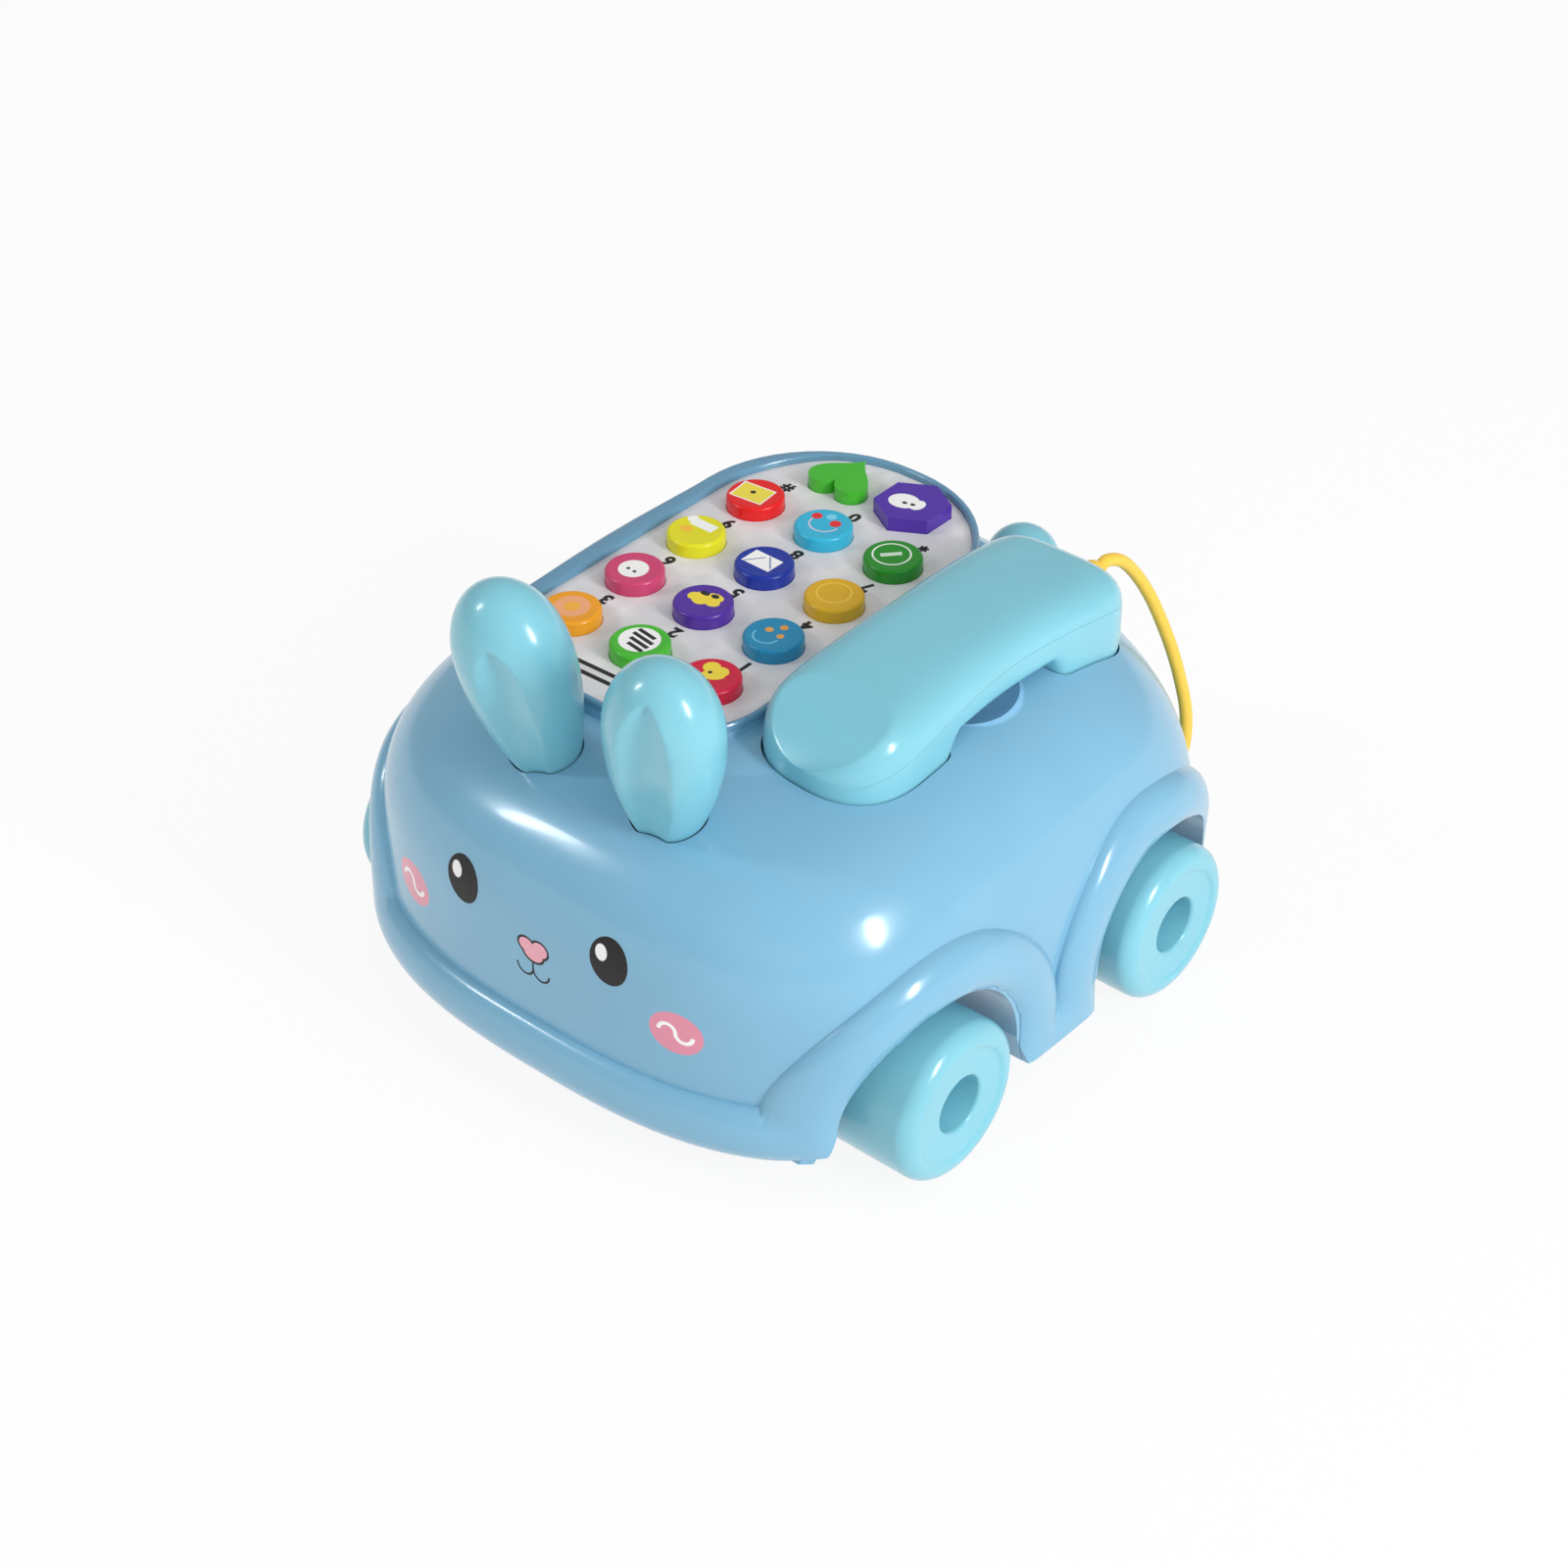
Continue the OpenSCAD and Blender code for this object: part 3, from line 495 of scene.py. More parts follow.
rim_z = DECK_Z + RIM_H
rim = keypad_loft("rim", [(RIM_W, 81.5, 4), (RIM_W, 91, 4), (RIM_W, 93.4, 3.7), (RIM_W, 95.2, 2.9),
                          (RIM_W, rim_z - 0.9, 1.7), (RIM_W - 0.12, rim_z - 0.45, 1.1),
                          (RIM_W - 0.4, rim_z - 0.12, 0.6), (RIM_W - 0.85, rim_z, 0.1)])
combine(dome, rim, "UNION")
PLATE_GAP, RIM_LIP = 0.15, 2.9
bed = keypad_loft("bed", [(PLATE_GAP, DECK_Z - 2), (PLATE_GAP, DECK_Z + 0.1)])
combine(dome, bed, "DIFFERENCE")
mouth = keypad_loft("mouth", [(PLATE_GAP, DECK_Z - 0.02), (PLATE_GAP, rim_z - 0.8), (0.28, rim_z - 0.4),
                              (0.6, rim_z - 0.1), (1.1, rim_z + 0.02), (3, rim_z + 3)], lip=RIM_LIP)
combine(dome, mouth, "DIFFERENCE")
well = keypad_loft("well", [(-LEDGE_W, 66), (-LEDGE_W, DECK_Z)])
combine(dome, well, "DIFFERENCE")


# --- Handset ------------------------------------------------------------------
# Two aqua half shells that meet at a fine parting line: a flat grip with a block at each end,
# the front one rounded, the back one squarer. Two screws hold it from below.
HANDSET_X, HANDSET_W = 40.3, 42
HANDSET_Y0, HANDSET_LEN = -49.5, 116
HANDSET_Y1 = HANDSET_Y0 + HANDSET_LEN
HANDSET_Y = (HANDSET_Y0 + HANDSET_Y1) / 2
HANDSET_TOP, HANDSET_FOOT = 112, 75.5
GRIP_T, BLOCK_LEN = 16.5, 37
END_FRONT, END_BACK, END_POWER, WAIST = 22, 17, 2.4, 0.07
BACK_BOW, END_DROP, FRONT_DROP_LEN, BACK_DROP_LEN = 5, 9, 16, 12
FACET_Z, FACET_Y, FACET_SLOPE, FACET_DROP = 110.1, -27, 0.34, 4.5
FOOT_FRONT_LEN, FOOT_BACK_LEN, FOOT_RISE = 14, 9, 7
MIDDLE_Z, SEAM_Z, SEAM_ARC, SEAM_TILT = 101, 104.6, 9, 1.4
GROMMET_AT, GROMMET_R, GROMMET_DEEP = (44, 70.45, 98.5), 3.25, 15
CRADLE_GAP, SEAM_GROOVE = 0.5, 0.2
SIDE_POWER, TOP_POWER = 0.5, 0.58


def handset_half(y, g):
    """Half of the handset's width at y, with g of clearance all round."""
    e = min(1, (y - HANDSET_Y0 + g) / (END_FRONT + g), (HANDSET_Y1 + g - y) / (END_BACK + g))
    waist = 1 - WAIST * ease(1 - abs(y - HANDSET_Y) / (HANDSET_LEN / 2 - 20))
    return (HANDSET_W / 2 * waist + g) * max(0, 1 - (1 - max(0, e)) ** END_POWER) ** (1 / END_POWER)


def handset_back(y, g):
    u = (y - HANDSET_Y) / (HANDSET_LEN / 2)
    e = min(1, (y - HANDSET_Y0 + g) / FRONT_DROP_LEN, (HANDSET_Y1 + g - y) / BACK_DROP_LEN)
    return HANDSET_TOP + g - BACK_BOW * u * u - END_DROP * (1 - max(0, e)) ** 2


def front_facet(y):
    """Height of the plane facet that cuts the front of the handset's back, behind a crease."""
    e = min(1, max(0, (y - HANDSET_Y0) / FRONT_DROP_LEN))
    return FACET_Z + FACET_SLOPE * (y - FACET_Y) - FACET_DROP * (1 - e) ** 2


def handset_under(y, g):
    inner = min(y - HANDSET_Y0, HANDSET_Y1 - y)
    e = min(1, (y - HANDSET_Y0 + g) / FOOT_FRONT_LEN, (HANDSET_Y1 + g - y) / FOOT_BACK_LEN)
    return (HANDSET_FOOT - g + (HANDSET_TOP - GRIP_T - HANDSET_FOOT) * ease((inner - BLOCK_LEN + 7) / 9)
            + FOOT_RISE * (1 - max(0, e)) ** 2)


def handset_middle(y):
    u = (y - HANDSET_Y) / (HANDSET_LEN / 2)
    return MIDDLE_Z - SEAM_ARC * u * u


def handset_seam(y):
    """Height of the parting line, an arc above the widest place."""
    u = (y - HANDSET_Y) / (HANDSET_LEN / 2)
    return SEAM_Z - SEAM_ARC * u * u + SEAM_TILT * u


def curl(v, power):
    return math.copysign(abs(v) ** power, v)


def handset_steps(g):
    """Places of the rings along the handset, closer together at its ends."""
    ends = [0.02 * 1.42 ** i for i in range(13)] + [1.35 + 0.72 * i for i in range(1, 31)]
    steps = [HANDSET_Y0 - g + t for t in ends]
    inner0, inner1 = HANDSET_Y0 + 24, HANDSET_Y1 - 24
    steps += [inner0 + (inner1 - inner0) * i / 56 for i in range(57)]
    steps += [HANDSET_Y1 + g - t for t in ends]
    return sorted(steps)


def handset_loft(name, g, half="all", count=60, groove=0.0):
    rings = []
    for y in handset_steps(g):
        w, mid, seam = max(0.3, handset_half(y, g)), handset_middle(y), handset_seam(y)
        up, down = handset_back(y, g) - mid, mid - handset_under(y, g)
        first, sweep = 0, 360
        if half != "all":
            lift = math.degrees(math.asin(min(0.9, (seam - mid) / up) ** (1 / TOP_POWER)))
            first, sweep = (lift, 180 - 2 * lift) if half == "upper" else (180 - lift, 180 + 2 * lift)
        parts = [i / count for i in range(count)]
        if half != "all":
            between = [i / (count // 2) for i in range(1, count // 2)]
            parts = [0, 0.0015, 0.006] + between + [0.994, 0.9985, 1]
        ring = []
        for part in parts:
            a = math.radians(first + sweep * part)
            c, s = math.cos(a), math.sin(a)
            inset = groove if part in (0, 1) else 0
            x = HANDSET_X + (w - inset) * curl(c, SIDE_POWER)
            z = mid + (up if s > 0 else down) * curl(s, TOP_POWER)
            ring.append((x, y, z if half == "all" else min(z, front_facet(y))))
        rings.append(ring)
    y0, y1 = rings[0][0][1], rings[-1][0][1]
    ends = [(HANDSET_X, y, sum(p[2] for p in (ring[0], ring[len(ring) // 2])) / 2)
            for y, ring in ((y0, rings[0]), (y1, rings[-1]))]
    return loft_piece(name, rings, *ends)


def bore(piece, at, radius, depth, sides, turned=0):
    """Cuts a round hole, upright unless turned, with its middle at the given place."""
    bpy.ops.object.select_all(action="DESELECT")
    bpy.ops.mesh.primitive_cylinder_add(
        vertices=sides, radius=radius * mm, depth=depth * mm,
        location=[v * mm for v in at], rotation=(math.radians(turned), 0, 0))
    combine(piece, bpy.context.object, "DIFFERENCE")


cradle = handset_loft("cradle", CRADLE_GAP)
face_outwards(cradle)
combine(dome, cradle, "DIFFERENCE")
AQUA = rgb(127, 197, 214)
aqua_gloss = moulded("aqua_plastic", AQUA, rough=0.26, coat=0.3)
for half in ("upper", "lower"):
    shell = handset_loft("handset_" + half + "_shell", 0, half, count=84, groove=SEAM_GROOVE)
    face_outwards(shell)
    smooth_by_angle(shell, 42)
    paint(shell, aqua_gloss)
    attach(shell, "handset")
    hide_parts("handset_" + half)
handset_upper = bpy.data.objects["handset_upper_shell"]
bore(handset_upper, GROMMET_AT, GROMMET_R, GROMMET_DEEP, 48, turned=90)
smooth_by_angle(handset_upper, 40)


# --- Scoop, wheel arches and sockets ------------------------------------------
# The dish for the fingers beside the grip has a soft lip. The arches run in as far as the
# wheel wells of the base, and the ears, the tail and the gland sit in close sockets.
SCOOP_AT, DISH_R, DISH_RISE = (47, 8, 98.5), 25.2, 14.9
ARCH_IN, ARCH_GROW, WELL_LIP, ARCH_GAP = 55.7, 2.3, 2, 0.1
EAR_LEN, EAR_W, EAR_T, EAR_ROOT = 51, 32, 28, 9
EAR_X, EAR_Y, EAR_Z = 20.2, -74.8, 88.9
EAR_LEAN = (9.4, 8.6)
EAR_FOOT, EAR_SPREAD, EAR_WIDEST, EAR_TIP, EAR_TIP_POWER = 0.42, 0.58, 0.62, 0.381, 2.2
EAR_DISH = {1: (16, 31, 46.5), -1: (25, 26, 39.5)}
EAR_DISH_DEEP, EAR_DISH_ROUND = 1.7, 14
TAIL_AT, TAIL_R = (0, 96, 69.5), 10.5
HEART_AT, HEART_HOLE_R = (-36, 61.7), 12.1
HEXAGON_AT, HEXAGON_HOLE_R = (-12.8, 61.7), 12.9
SHAPED_HOLE_Z, SHAPED_HOLE_DEEP = 86.5, 14
GLAND_AT, GLAND_R, GLAND_DEEP = (63, 85, 33), 3.3, 24
GAP = 0.2


def spin_piece(name, profile, at, count=64):
    """A closed solid of revolution about Z from (radius, height) pairs, bottom to top."""
    cx, cy, cz = at
    turns = [2 * math.pi * i / count for i in range(count)]
    rings = [[(cx + r * math.cos(a), cy + r * math.sin(a), cz + z) for a in turns] for r, z in profile]
    return loft_piece(name, rings, (cx, cy, cz + profile[0][1]), (cx, cy, cz + profile[-1][1]))


dish = [(DISH_R * math.sin(math.radians(a)), DISH_RISE - DISH_R * math.cos(math.radians(a)))
        for a in range(1, 35, 2)]
dish += [(14.45, -5.75), (14.9, -5.1), (15.5, -4.6), (16.4, -4.3), (18.5, -4.0), (19.5, 6)]
scoop = spin_piece("scoop", dish, SCOOP_AT)
face_outwards(scoop)
combine(dome, scoop, "DIFFERENCE")
ARCH_STEPS, PAST_SIDE = 48, 100


def arch_line(grow):
    """Side view of a wheel opening: a round arch with splayed feet."""
    r = ARCH_R + grow
    turns = [math.pi * i / ARCH_STEPS for i in range(ARCH_STEPS + 1)]
    line = [(r * math.cos(a), r * math.sin(a)) for a in turns]
    foot = ARCH_FOOT + 1.6 * grow
    return line + [(-foot, -WHEEL_R), (foot, -WHEEL_R)]


well_edge = [plan(3 * k / 900, BOTTOM_Z, WELL_LIP + 0.15) for k in range(901)]


def well_out(y):
    """How far out the wheel well of the base reaches at y."""
    return min(well_edge, key=lambda p: abs(p[1] - y) if p[0] > 40 else 999)[0]


# The wider cut clears the base's wheel well; the closer one opens the side and leaves a lip.
for axle in AXLE_Y:
    for side in (1, -1):
        for grow in (ARCH_GROW, ARCH_GAP):
            line = arch_line(grow)
            reach = [well_out(axle + u) if grow == ARCH_GROW else PAST_SIDE for u, v in line]
            inner = [(side * ARCH_IN, axle + u, WHEEL_R + v) for u, v in line]
            outer = [(side * out, axle + u, WHEEL_R + v) for out, (u, v) in zip(reach, line)]
            arch = loft_piece("arch", [inner, outer], (side * ARCH_IN, axle, WHEEL_R),
                              (side * reach[ARCH_STEPS // 2], axle, WHEEL_R))
            face_outwards(arch)
            combine(dome, arch, "DIFFERENCE")


def ear_swell(t):
    """Width of the ear at t of its length, as a share of its widest."""
    if t < EAR_WIDEST:
        return EAR_FOOT + EAR_SPREAD * math.sin(math.pi / 2 * t / EAR_WIDEST)
    return math.sqrt(max(0.0006, 1 - ((t - EAR_WIDEST) / EAR_TIP) ** EAR_TIP_POWER))


def ear_scoop(x, y, z, side):
    """The front of the ear, cut back to a shallow dish.

    Each ear's dish has its own turn and half width, in degrees, and its own top.
    """
    out = math.hypot(x, y)
    turn, half, top = EAR_DISH[side]
    off = math.degrees(math.atan2(y, x)) - (turn - 90)
    off = abs((off + 180) % 360 - 180)
    rise = min(1, max(0, z - top + EAR_DISH_ROUND) / EAR_DISH_ROUND)
    edge = half * (0.84 + 0.16 * ease(z / 14)) * math.sqrt(1 - rise * rise)
    if off >= edge:
        return x, y
    chord = math.cos(math.radians(edge)) / math.cos(math.radians(off))
    deep = EAR_DISH_DEEP * (0.3 + 0.7 * ease(z / 12)) * (edge / half) ** 0.5
    now = out * chord - deep * (1 - (off / edge) ** 2) ** 0.6
    return x * now / out, y * now / out


def ear_loft(name, side, grow, count=112, steps=72):
    whole = EAR_LEN + EAR_ROOT
    lean = (Matrix.Translation((side * EAR_X, EAR_Y, EAR_Z))
            @ Matrix.Rotation(math.radians(side * EAR_LEAN[1]), 4, "Y")
            @ Matrix.Rotation(math.radians(EAR_LEAN[0]), 4, "X"))
    rings = []
    for j in range(steps + 1):
        t = math.sin(math.pi / 2 * j / steps)
        w, d = EAR_W / 2 * ear_swell(t) + grow, EAR_T / 2 * ear_swell(t) + grow
        z = whole * t - EAR_ROOT + (2 * t - 1) * grow
        ring = []
        for i in range(count):
            a = 2 * math.pi * i / count
            x, y = ear_scoop(w * math.cos(a), d * math.sin(a), z, side)
            ring.append(tuple(lean @ Vector((x, y, z))))
        rings.append(ring)
    ends = [lean @ Vector((0, 0, z)) for z in (-EAR_ROOT - grow, EAR_LEN + grow)]
    return loft_piece(name, rings, tuple(ends[0]), tuple(ends[1]))


for side in (1, -1):
    socket = ear_loft("socket", side, GAP, 64, 40)
    face_outwards(socket)
    combine(dome, socket, "DIFFERENCE")
bpy.ops.object.select_all(action="DESELECT")
bpy.ops.mesh.primitive_uv_sphere_add(
    segments=64, ring_count=32, radius=(TAIL_R + GAP) * mm, location=[v * mm for v in TAIL_AT])
combine(dome, bpy.context.object, "DIFFERENCE")
bore(dome, (*HEART_AT, SHAPED_HOLE_Z), HEART_HOLE_R, SHAPED_HOLE_DEEP, 64)
bore(dome, (*HEXAGON_AT, SHAPED_HOLE_Z), HEXAGON_HOLE_R, SHAPED_HOLE_DEEP, 64)
bore(dome, GLAND_AT, GLAND_R, GLAND_DEEP, 48)
smooth_by_angle(dome, 30)
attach(dome, "phone")
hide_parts("upper_shell")


# --- Blue plastic and the printed face ----------------------------------------
# The casing is moulded in one mid blue. The face is pad-printed on the nose: two black eyes,
# round pink cheeks, a pink nose and a small mouth. Light and shade are also painted on it: a
# pale blue in the finger scoop stands for light, and a darker blue on the keypad rim for shade.
BLUE = rgb(124, 179, 208)
INK = rgb(7, 6, 7)
CHEEK_PINK = rgb(228, 140, 162)
NOSE_PINK = rgb(246, 176, 190)
PRINT_WHITE = rgb(250, 248, 246)
# Painted light: a pale blue laid over the finger scoop so that it looks lit.
SCOOP_PAINTED_LIGHT_BLUE = rgb(160, 215, 250)
# Painted shade: a dark blue laid over the keypad rim.
RIM_PAINTED_SHADE_BLUE = rgb(60, 100, 135)
SHARP = 0.12
EYES, EYE_R, GLINT_R = ((-25.6, 60.6), (24.0, 60.4)), (5.8, 7.0), (1.8, 2.4)
CHEEKS, CHEEK_R, CURL_R, CURL_LINE = ((-48.3, 45.7), (43.1, 46.6)), (7.3, 6.3), 2.3, 1.1
NOSE_LOBES = ((-3.0, 52.2, 2.5, 2.1), (1.5, 52.6, 2.5, 2.2), (-0.8, 50.4, 3.2, 2.3))
LIP_AT, LIP_R, LIP_LINE = ((-3.8, 45.4), (1.6, 45.4)), 2.7, 0.65
FACE_Y, RIM_FOOT = -60, 94.6


def oval(u, v, cu, cv, ru, rv, turn=0.0):
    """A printed oval on the plane of u and v, 1 inside and 0 outside."""
    c, s = math.cos(math.radians(turn)), math.sin(math.radians(turn))
    a, b = u - cu, v - cv
    p, q = (a * c + b * s) / ru, (b * c - a * s) / rv
    return (p * p + q * q).power(0.5).step(1, SHARP / min(ru, rv))


def bar(u, v, cu, cv, hu, hv, turn=0.0):
    """A printed oblong, hu by hv either side of its middle."""
    c, s = math.cos(math.radians(turn)), math.sin(math.radians(turn))
    a, b = u - cu, v - cv
    return (a * c + b * s).size().step(hu, SHARP) * (b * c - a * s).size().step(hv, SHARP)


def arc(u, v, cu, cv, r, line, half):
    """Half of a printed ring: its upper half when half is 1, its lower half when it is -1."""
    a, b = u - cu, v - cv
    ring = ((a * a + b * b).power(0.5) - r).size().step(line / 2, SHARP)
    return ring * (b * half).above(0)


def printed(finish, colour, prints):
    """Lays prints on a colour, in order."""
    for mask, ink in prints:
        colour = finish.blend(mask, colour, ink)
    return colour


blue_gloss = moulded("blue_plastic", BLUE, rough=0.24, coat=0.35)
face = Finish("blue_plastic_face_and_painted_light")
spot, x, y, z = face.place()
front = y.below(FACE_Y)
fine = face.noise(spot, 0.9, 4.0)
drift = face.blend(face.noise(spot, 0.035), shade(BLUE, 0.95), shade(BLUE, 1.05))
prints = []
for cx, cz in EYES:
    prints += [(oval(x, z, cx, cz, *EYE_R, -4), INK),
               (oval(x, z, cx - 2.3, cz + 1.9, *GLINT_R), PRINT_WHITE)]
for cx, cz in CHEEKS:
    prints += [(oval(x, z, cx, cz, *CHEEK_R), CHEEK_PINK),
               (arc(x, z, cx - 2.4, cz - 0.1, CURL_R, CURL_LINE, 1), PRINT_WHITE),
               (arc(x, z, cx + 2.2, cz - 0.1, CURL_R, CURL_LINE, -1), PRINT_WHITE)]
for grow, ink in ((0.7, INK), (0.0, NOSE_PINK)):
    prints += [(oval(x, z, cx, cz, ru + grow, rv + grow), ink) for cx, cz, ru, rv in NOSE_LOBES]
prints += [(bar(x, z, -1.1, 45.7, 0.3, 1.7), INK)]
prints += [(arc(x, z, cx, cz, LIP_R, LIP_LINE, -1), INK) for cx, cz in LIP_AT]
prints = [(m * front, ink) for m, ink in prints]
inked = sum((m for m, ink in prints if ink == INK), 0)
# Painted light: the finger scoop is tinted paler, in place of light falling into it.
u, v = x - SCOOP_AT[0], y - SCOOP_AT[1]
scoop_painted_light = (u * u + v * v).power(0.5).step(15, 1) * z.below(DOME_TOP + 0.1)
# Painted shade: everything above RIM_FOOT, which is the keypad rim, is tinted darker.
rim_painted_shade = (z - RIM_FOOT).least(1).most(0)
prints += [(scoop_painted_light * 0.8, SCOOP_PAINTED_LIGHT_BLUE), (rim_painted_shade * 0.45, RIM_PAINTED_SHADE_BLUE)]
face.set(Base_Color=printed(face, drift, prints), Roughness=fine * 0.06 + 0.21 + inked.least(1) * 0.3,
         Coat_Weight=(1 - inked).most(0) * 0.35, Coat_Roughness=0.1, IOR=PLASTIC_IOR,
         Normal=face.bump(fine, *ORANGE_PEEL))
paint(dome, face)
for name in ("lower_shell", "battery_door"):
    paint(nodes[name], blue_gloss)


# --- Ears, tail and wheels ----------------------------------------------------
# Aqua mouldings: the ears plug into the hood and lean forwards and outwards, the tail is a
# ball, and each pair of wheels turns on a steel axle.
EAR_SHY = 0.1
for side, name in ((1, "ear_left"), (-1, "ear_right")):
    ear = ear_loft(name + "_shell", side, -EAR_SHY)
    face_outwards(ear)
    smooth_by_angle(ear, 60)
    paint(ear, aqua_gloss)
    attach(ear, "phone")
    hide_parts(name)
paint(nodes["tail"], aqua_gloss)
WHEEL_IN, WHEEL_W, TYRE_ROUND, HUB_R, AXLE_R = 64.2, 32, 4.6, 7.9, 2.02
BOSS_R, TYRE_IN_R, BACK_HOLLOW = 9, 19.1, 8
DISC_U, HUB_ROUND, HUB_FLOOR = 31.2, 1, 20
tyre = [(AXLE_R, 0), (BOSS_R, 0), (BOSS_R, BACK_HOLLOW), (TYRE_IN_R, BACK_HOLLOW), (TYRE_IN_R, 0),
        (21.5, 0), (WHEEL_R, 0.6)]
tyre += [(WHEEL_R - TYRE_ROUND * (1 - math.cos(math.radians(a))),
          WHEEL_W - TYRE_ROUND * (1 - math.sin(math.radians(a)))) for a in range(0, 91, 9)]
tyre += [(16.9, 31.97), (16.6, 31.87), (16.3, 31.68), (16, 31.46), (15.7, 31.3), (15.4, 31.22), (15, DISC_U)]
tyre += [(HUB_R + HUB_ROUND - HUB_ROUND * math.sin(math.radians(a)),
          DISC_U - HUB_ROUND + HUB_ROUND * math.cos(math.radians(a))) for a in range(0, 91, 15)]
tyre += [(HUB_R, HUB_FLOOR), (AXLE_R, HUB_FLOOR)]
TURNS = 96
for body, axle in (("front", AXLE_Y[0]), ("rear", AXLE_Y[1])):
    for side, hand in ((1, "left"), (-1, "right")):
        points = [(side * (WHEEL_IN + u), axle + r * math.cos(2 * math.pi * i / TURNS),
                   WHEEL_R + r * math.sin(2 * math.pi * i / TURNS)) for r, u in tyre for i in range(TURNS)]
        faces = ring_faces(TURNS, len(tyre))
        last = (len(tyre) - 1) * TURNS
        faces += [(last + i, last + (i + 1) % TURNS, (i + 1) % TURNS, i) for i in range(TURNS)]
        wheel = mesh_piece("wheel_" + body + "_" + hand + "_tyre", points, faces)
        face_outwards(wheel)
        smooth_by_angle(wheel, 35)
        paint(wheel, aqua_gloss)
        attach(wheel, body + "_wheels")
        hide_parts("wheel_" + body + "_" + hand)
STEEL = rgb(196, 198, 202)
steel = Finish("bright_steel")
steel.set(Base_Color=STEEL, Metallic=1.0, Roughness=steel.noise(steel.place()[0], 0.8) * 0.2 + 0.2)
for name in ("front_axle", "rear_axle", "base_screws", "door_screw", "handset_screws"):
    paint(nodes[name], steel)


# --- Keypad plate -------------------------------------------------------------
# A pale grey styrene plate with a soft mottled print and a black marker in front of the
# first row. A numeral or sign in thick black ink stands behind each round button.
PLATE_TOP = DECK_Z
PLATE_DARK, PLATE_PALE, MARKER_GREY = rgb(216, 216, 219), rgb(232, 230, 231), rgb(214, 214, 215)
INK_PALE = rgb(34, 32, 34)
MARKER_AT, MARKER_TURN = (-26.4, -49.3), 2
COLUMN_X, ROW_Y = (0, -24, -48), (-35.5, -11.2, 13.1, 37.4)
SIGNS = "123456789*0#"
KEY_AT = {sign: (COLUMN_X[i % 3], ROW_Y[i // 3]) for i, sign in enumerate(SIGNS)}
WORDS = {"*": "star", "#": "hash"}
LABEL_SIZE, LABEL_BOLD, LABEL_FLAT = 5.8, 0.3, 0.2
LABEL_RIGHT, LABEL_BEHIND = 0.4, 12.6
plate = Finish("printed_plate")
spot, x, y, z = plate.place()
clouds = plate.noise(spot, 0.09, 3.0)
patches = ((clouds - 0.42) * 4).least(1).most(0)
grey = plate.blend(patches, PLATE_DARK, PLATE_PALE)
marker = [(bar(x, y, *MARKER_AT, 8.6, 2.4, MARKER_TURN), INK),
          (bar(x, y, *MARKER_AT, 7.2, 0.9, MARKER_TURN), MARKER_GREY)]
plate.set(Base_Color=printed(plate, grey, marker), Roughness=plate.noise(spot, 0.5) * 0.1 + 0.3,
          Coat_Weight=0.15)
paint(nodes["keypad_plate"], plate)
ink = Finish("black_ink")
ink.set(Base_Color=ink.blend(ink.noise(ink.place()[0], 1.5), INK, INK_PALE), Roughness=0.35)
turn_and_flatten = Matrix.Rotation(math.pi, 4, "Z") @ Matrix.Diagonal((1, 1, LABEL_FLAT, 1))
for sign, (bx, by) in KEY_AT.items():
    bpy.ops.object.select_all(action="DESELECT")
    bpy.ops.object.text_add()
    label = bpy.context.object
    label.data.body = sign
    label.data.size = LABEL_SIZE * mm
    label.data.bevel_depth = LABEL_BOLD * mm
    label.data.bevel_resolution = 1
    label.data.align_x = "CENTER"
    bpy.ops.object.convert(target="MESH")
    label = bpy.context.object
    label.name = "label_" + WORDS.get(sign, sign)
    low = [min(v.co[k] for v in label.data.vertices) for k in (0, 1)]
    high = [max(v.co[k] for v in label.data.vertices) for k in (0, 1)]
    middle = Vector(((low[0] + high[0]) / 2, (low[1] + high[1]) / 2, 0))
    place = Matrix.Translation(((bx + LABEL_RIGHT) * mm, (by + LABEL_BEHIND) * mm, PLATE_TOP * mm))
    label.data.transform(place @ turn_and_flatten @ Matrix.Translation(-middle))
    paint(label, ink)
    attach(label, "phone")


# --- Buttons ------------------------------------------------------------------
# Fourteen caps in bright colours, each on its own rubber dome: twelve round ones with a
# flange under the plate, a heart and a hexagon. Most have a simple sign printed on the flat.
RED, YELLOW, WHITE, BLACK = rgb(226, 34, 40), rgb(240, 214, 60), rgb(246, 246, 244), rgb(24, 24, 26)
PALE_BLUE, LINE_BLUE = rgb(120, 206, 236), rgb(90, 110, 160)
CAP_R, CAP_TOP, CAP_ROUND = 8, 99.5, 1.0
CAP_HOLLOW_R, CAP_HOLLOW_Z, CAP_FOOT = 6, 94.4, 91.4
FLANGE_R, FLANGE_Z0, FLANGE_Z1 = 9.4, 92, 93.2
cap_side = [(CAP_HOLLOW_R, CAP_HOLLOW_Z), (CAP_HOLLOW_R, CAP_FOOT), (CAP_R, CAP_FOOT), (CAP_R, FLANGE_Z0),
            (FLANGE_R, FLANGE_Z0), (FLANGE_R, FLANGE_Z1), (CAP_R, FLANGE_Z1)]
cap_side += [(CAP_R - CAP_ROUND * (1 - math.cos(math.radians(a))),
              CAP_TOP - CAP_ROUND * (1 - math.sin(math.radians(a)))) for a in range(0, 91, 15)]
cap_side += [(6.6, CAP_TOP - 0.06), (6.1, CAP_TOP - 0.1)]


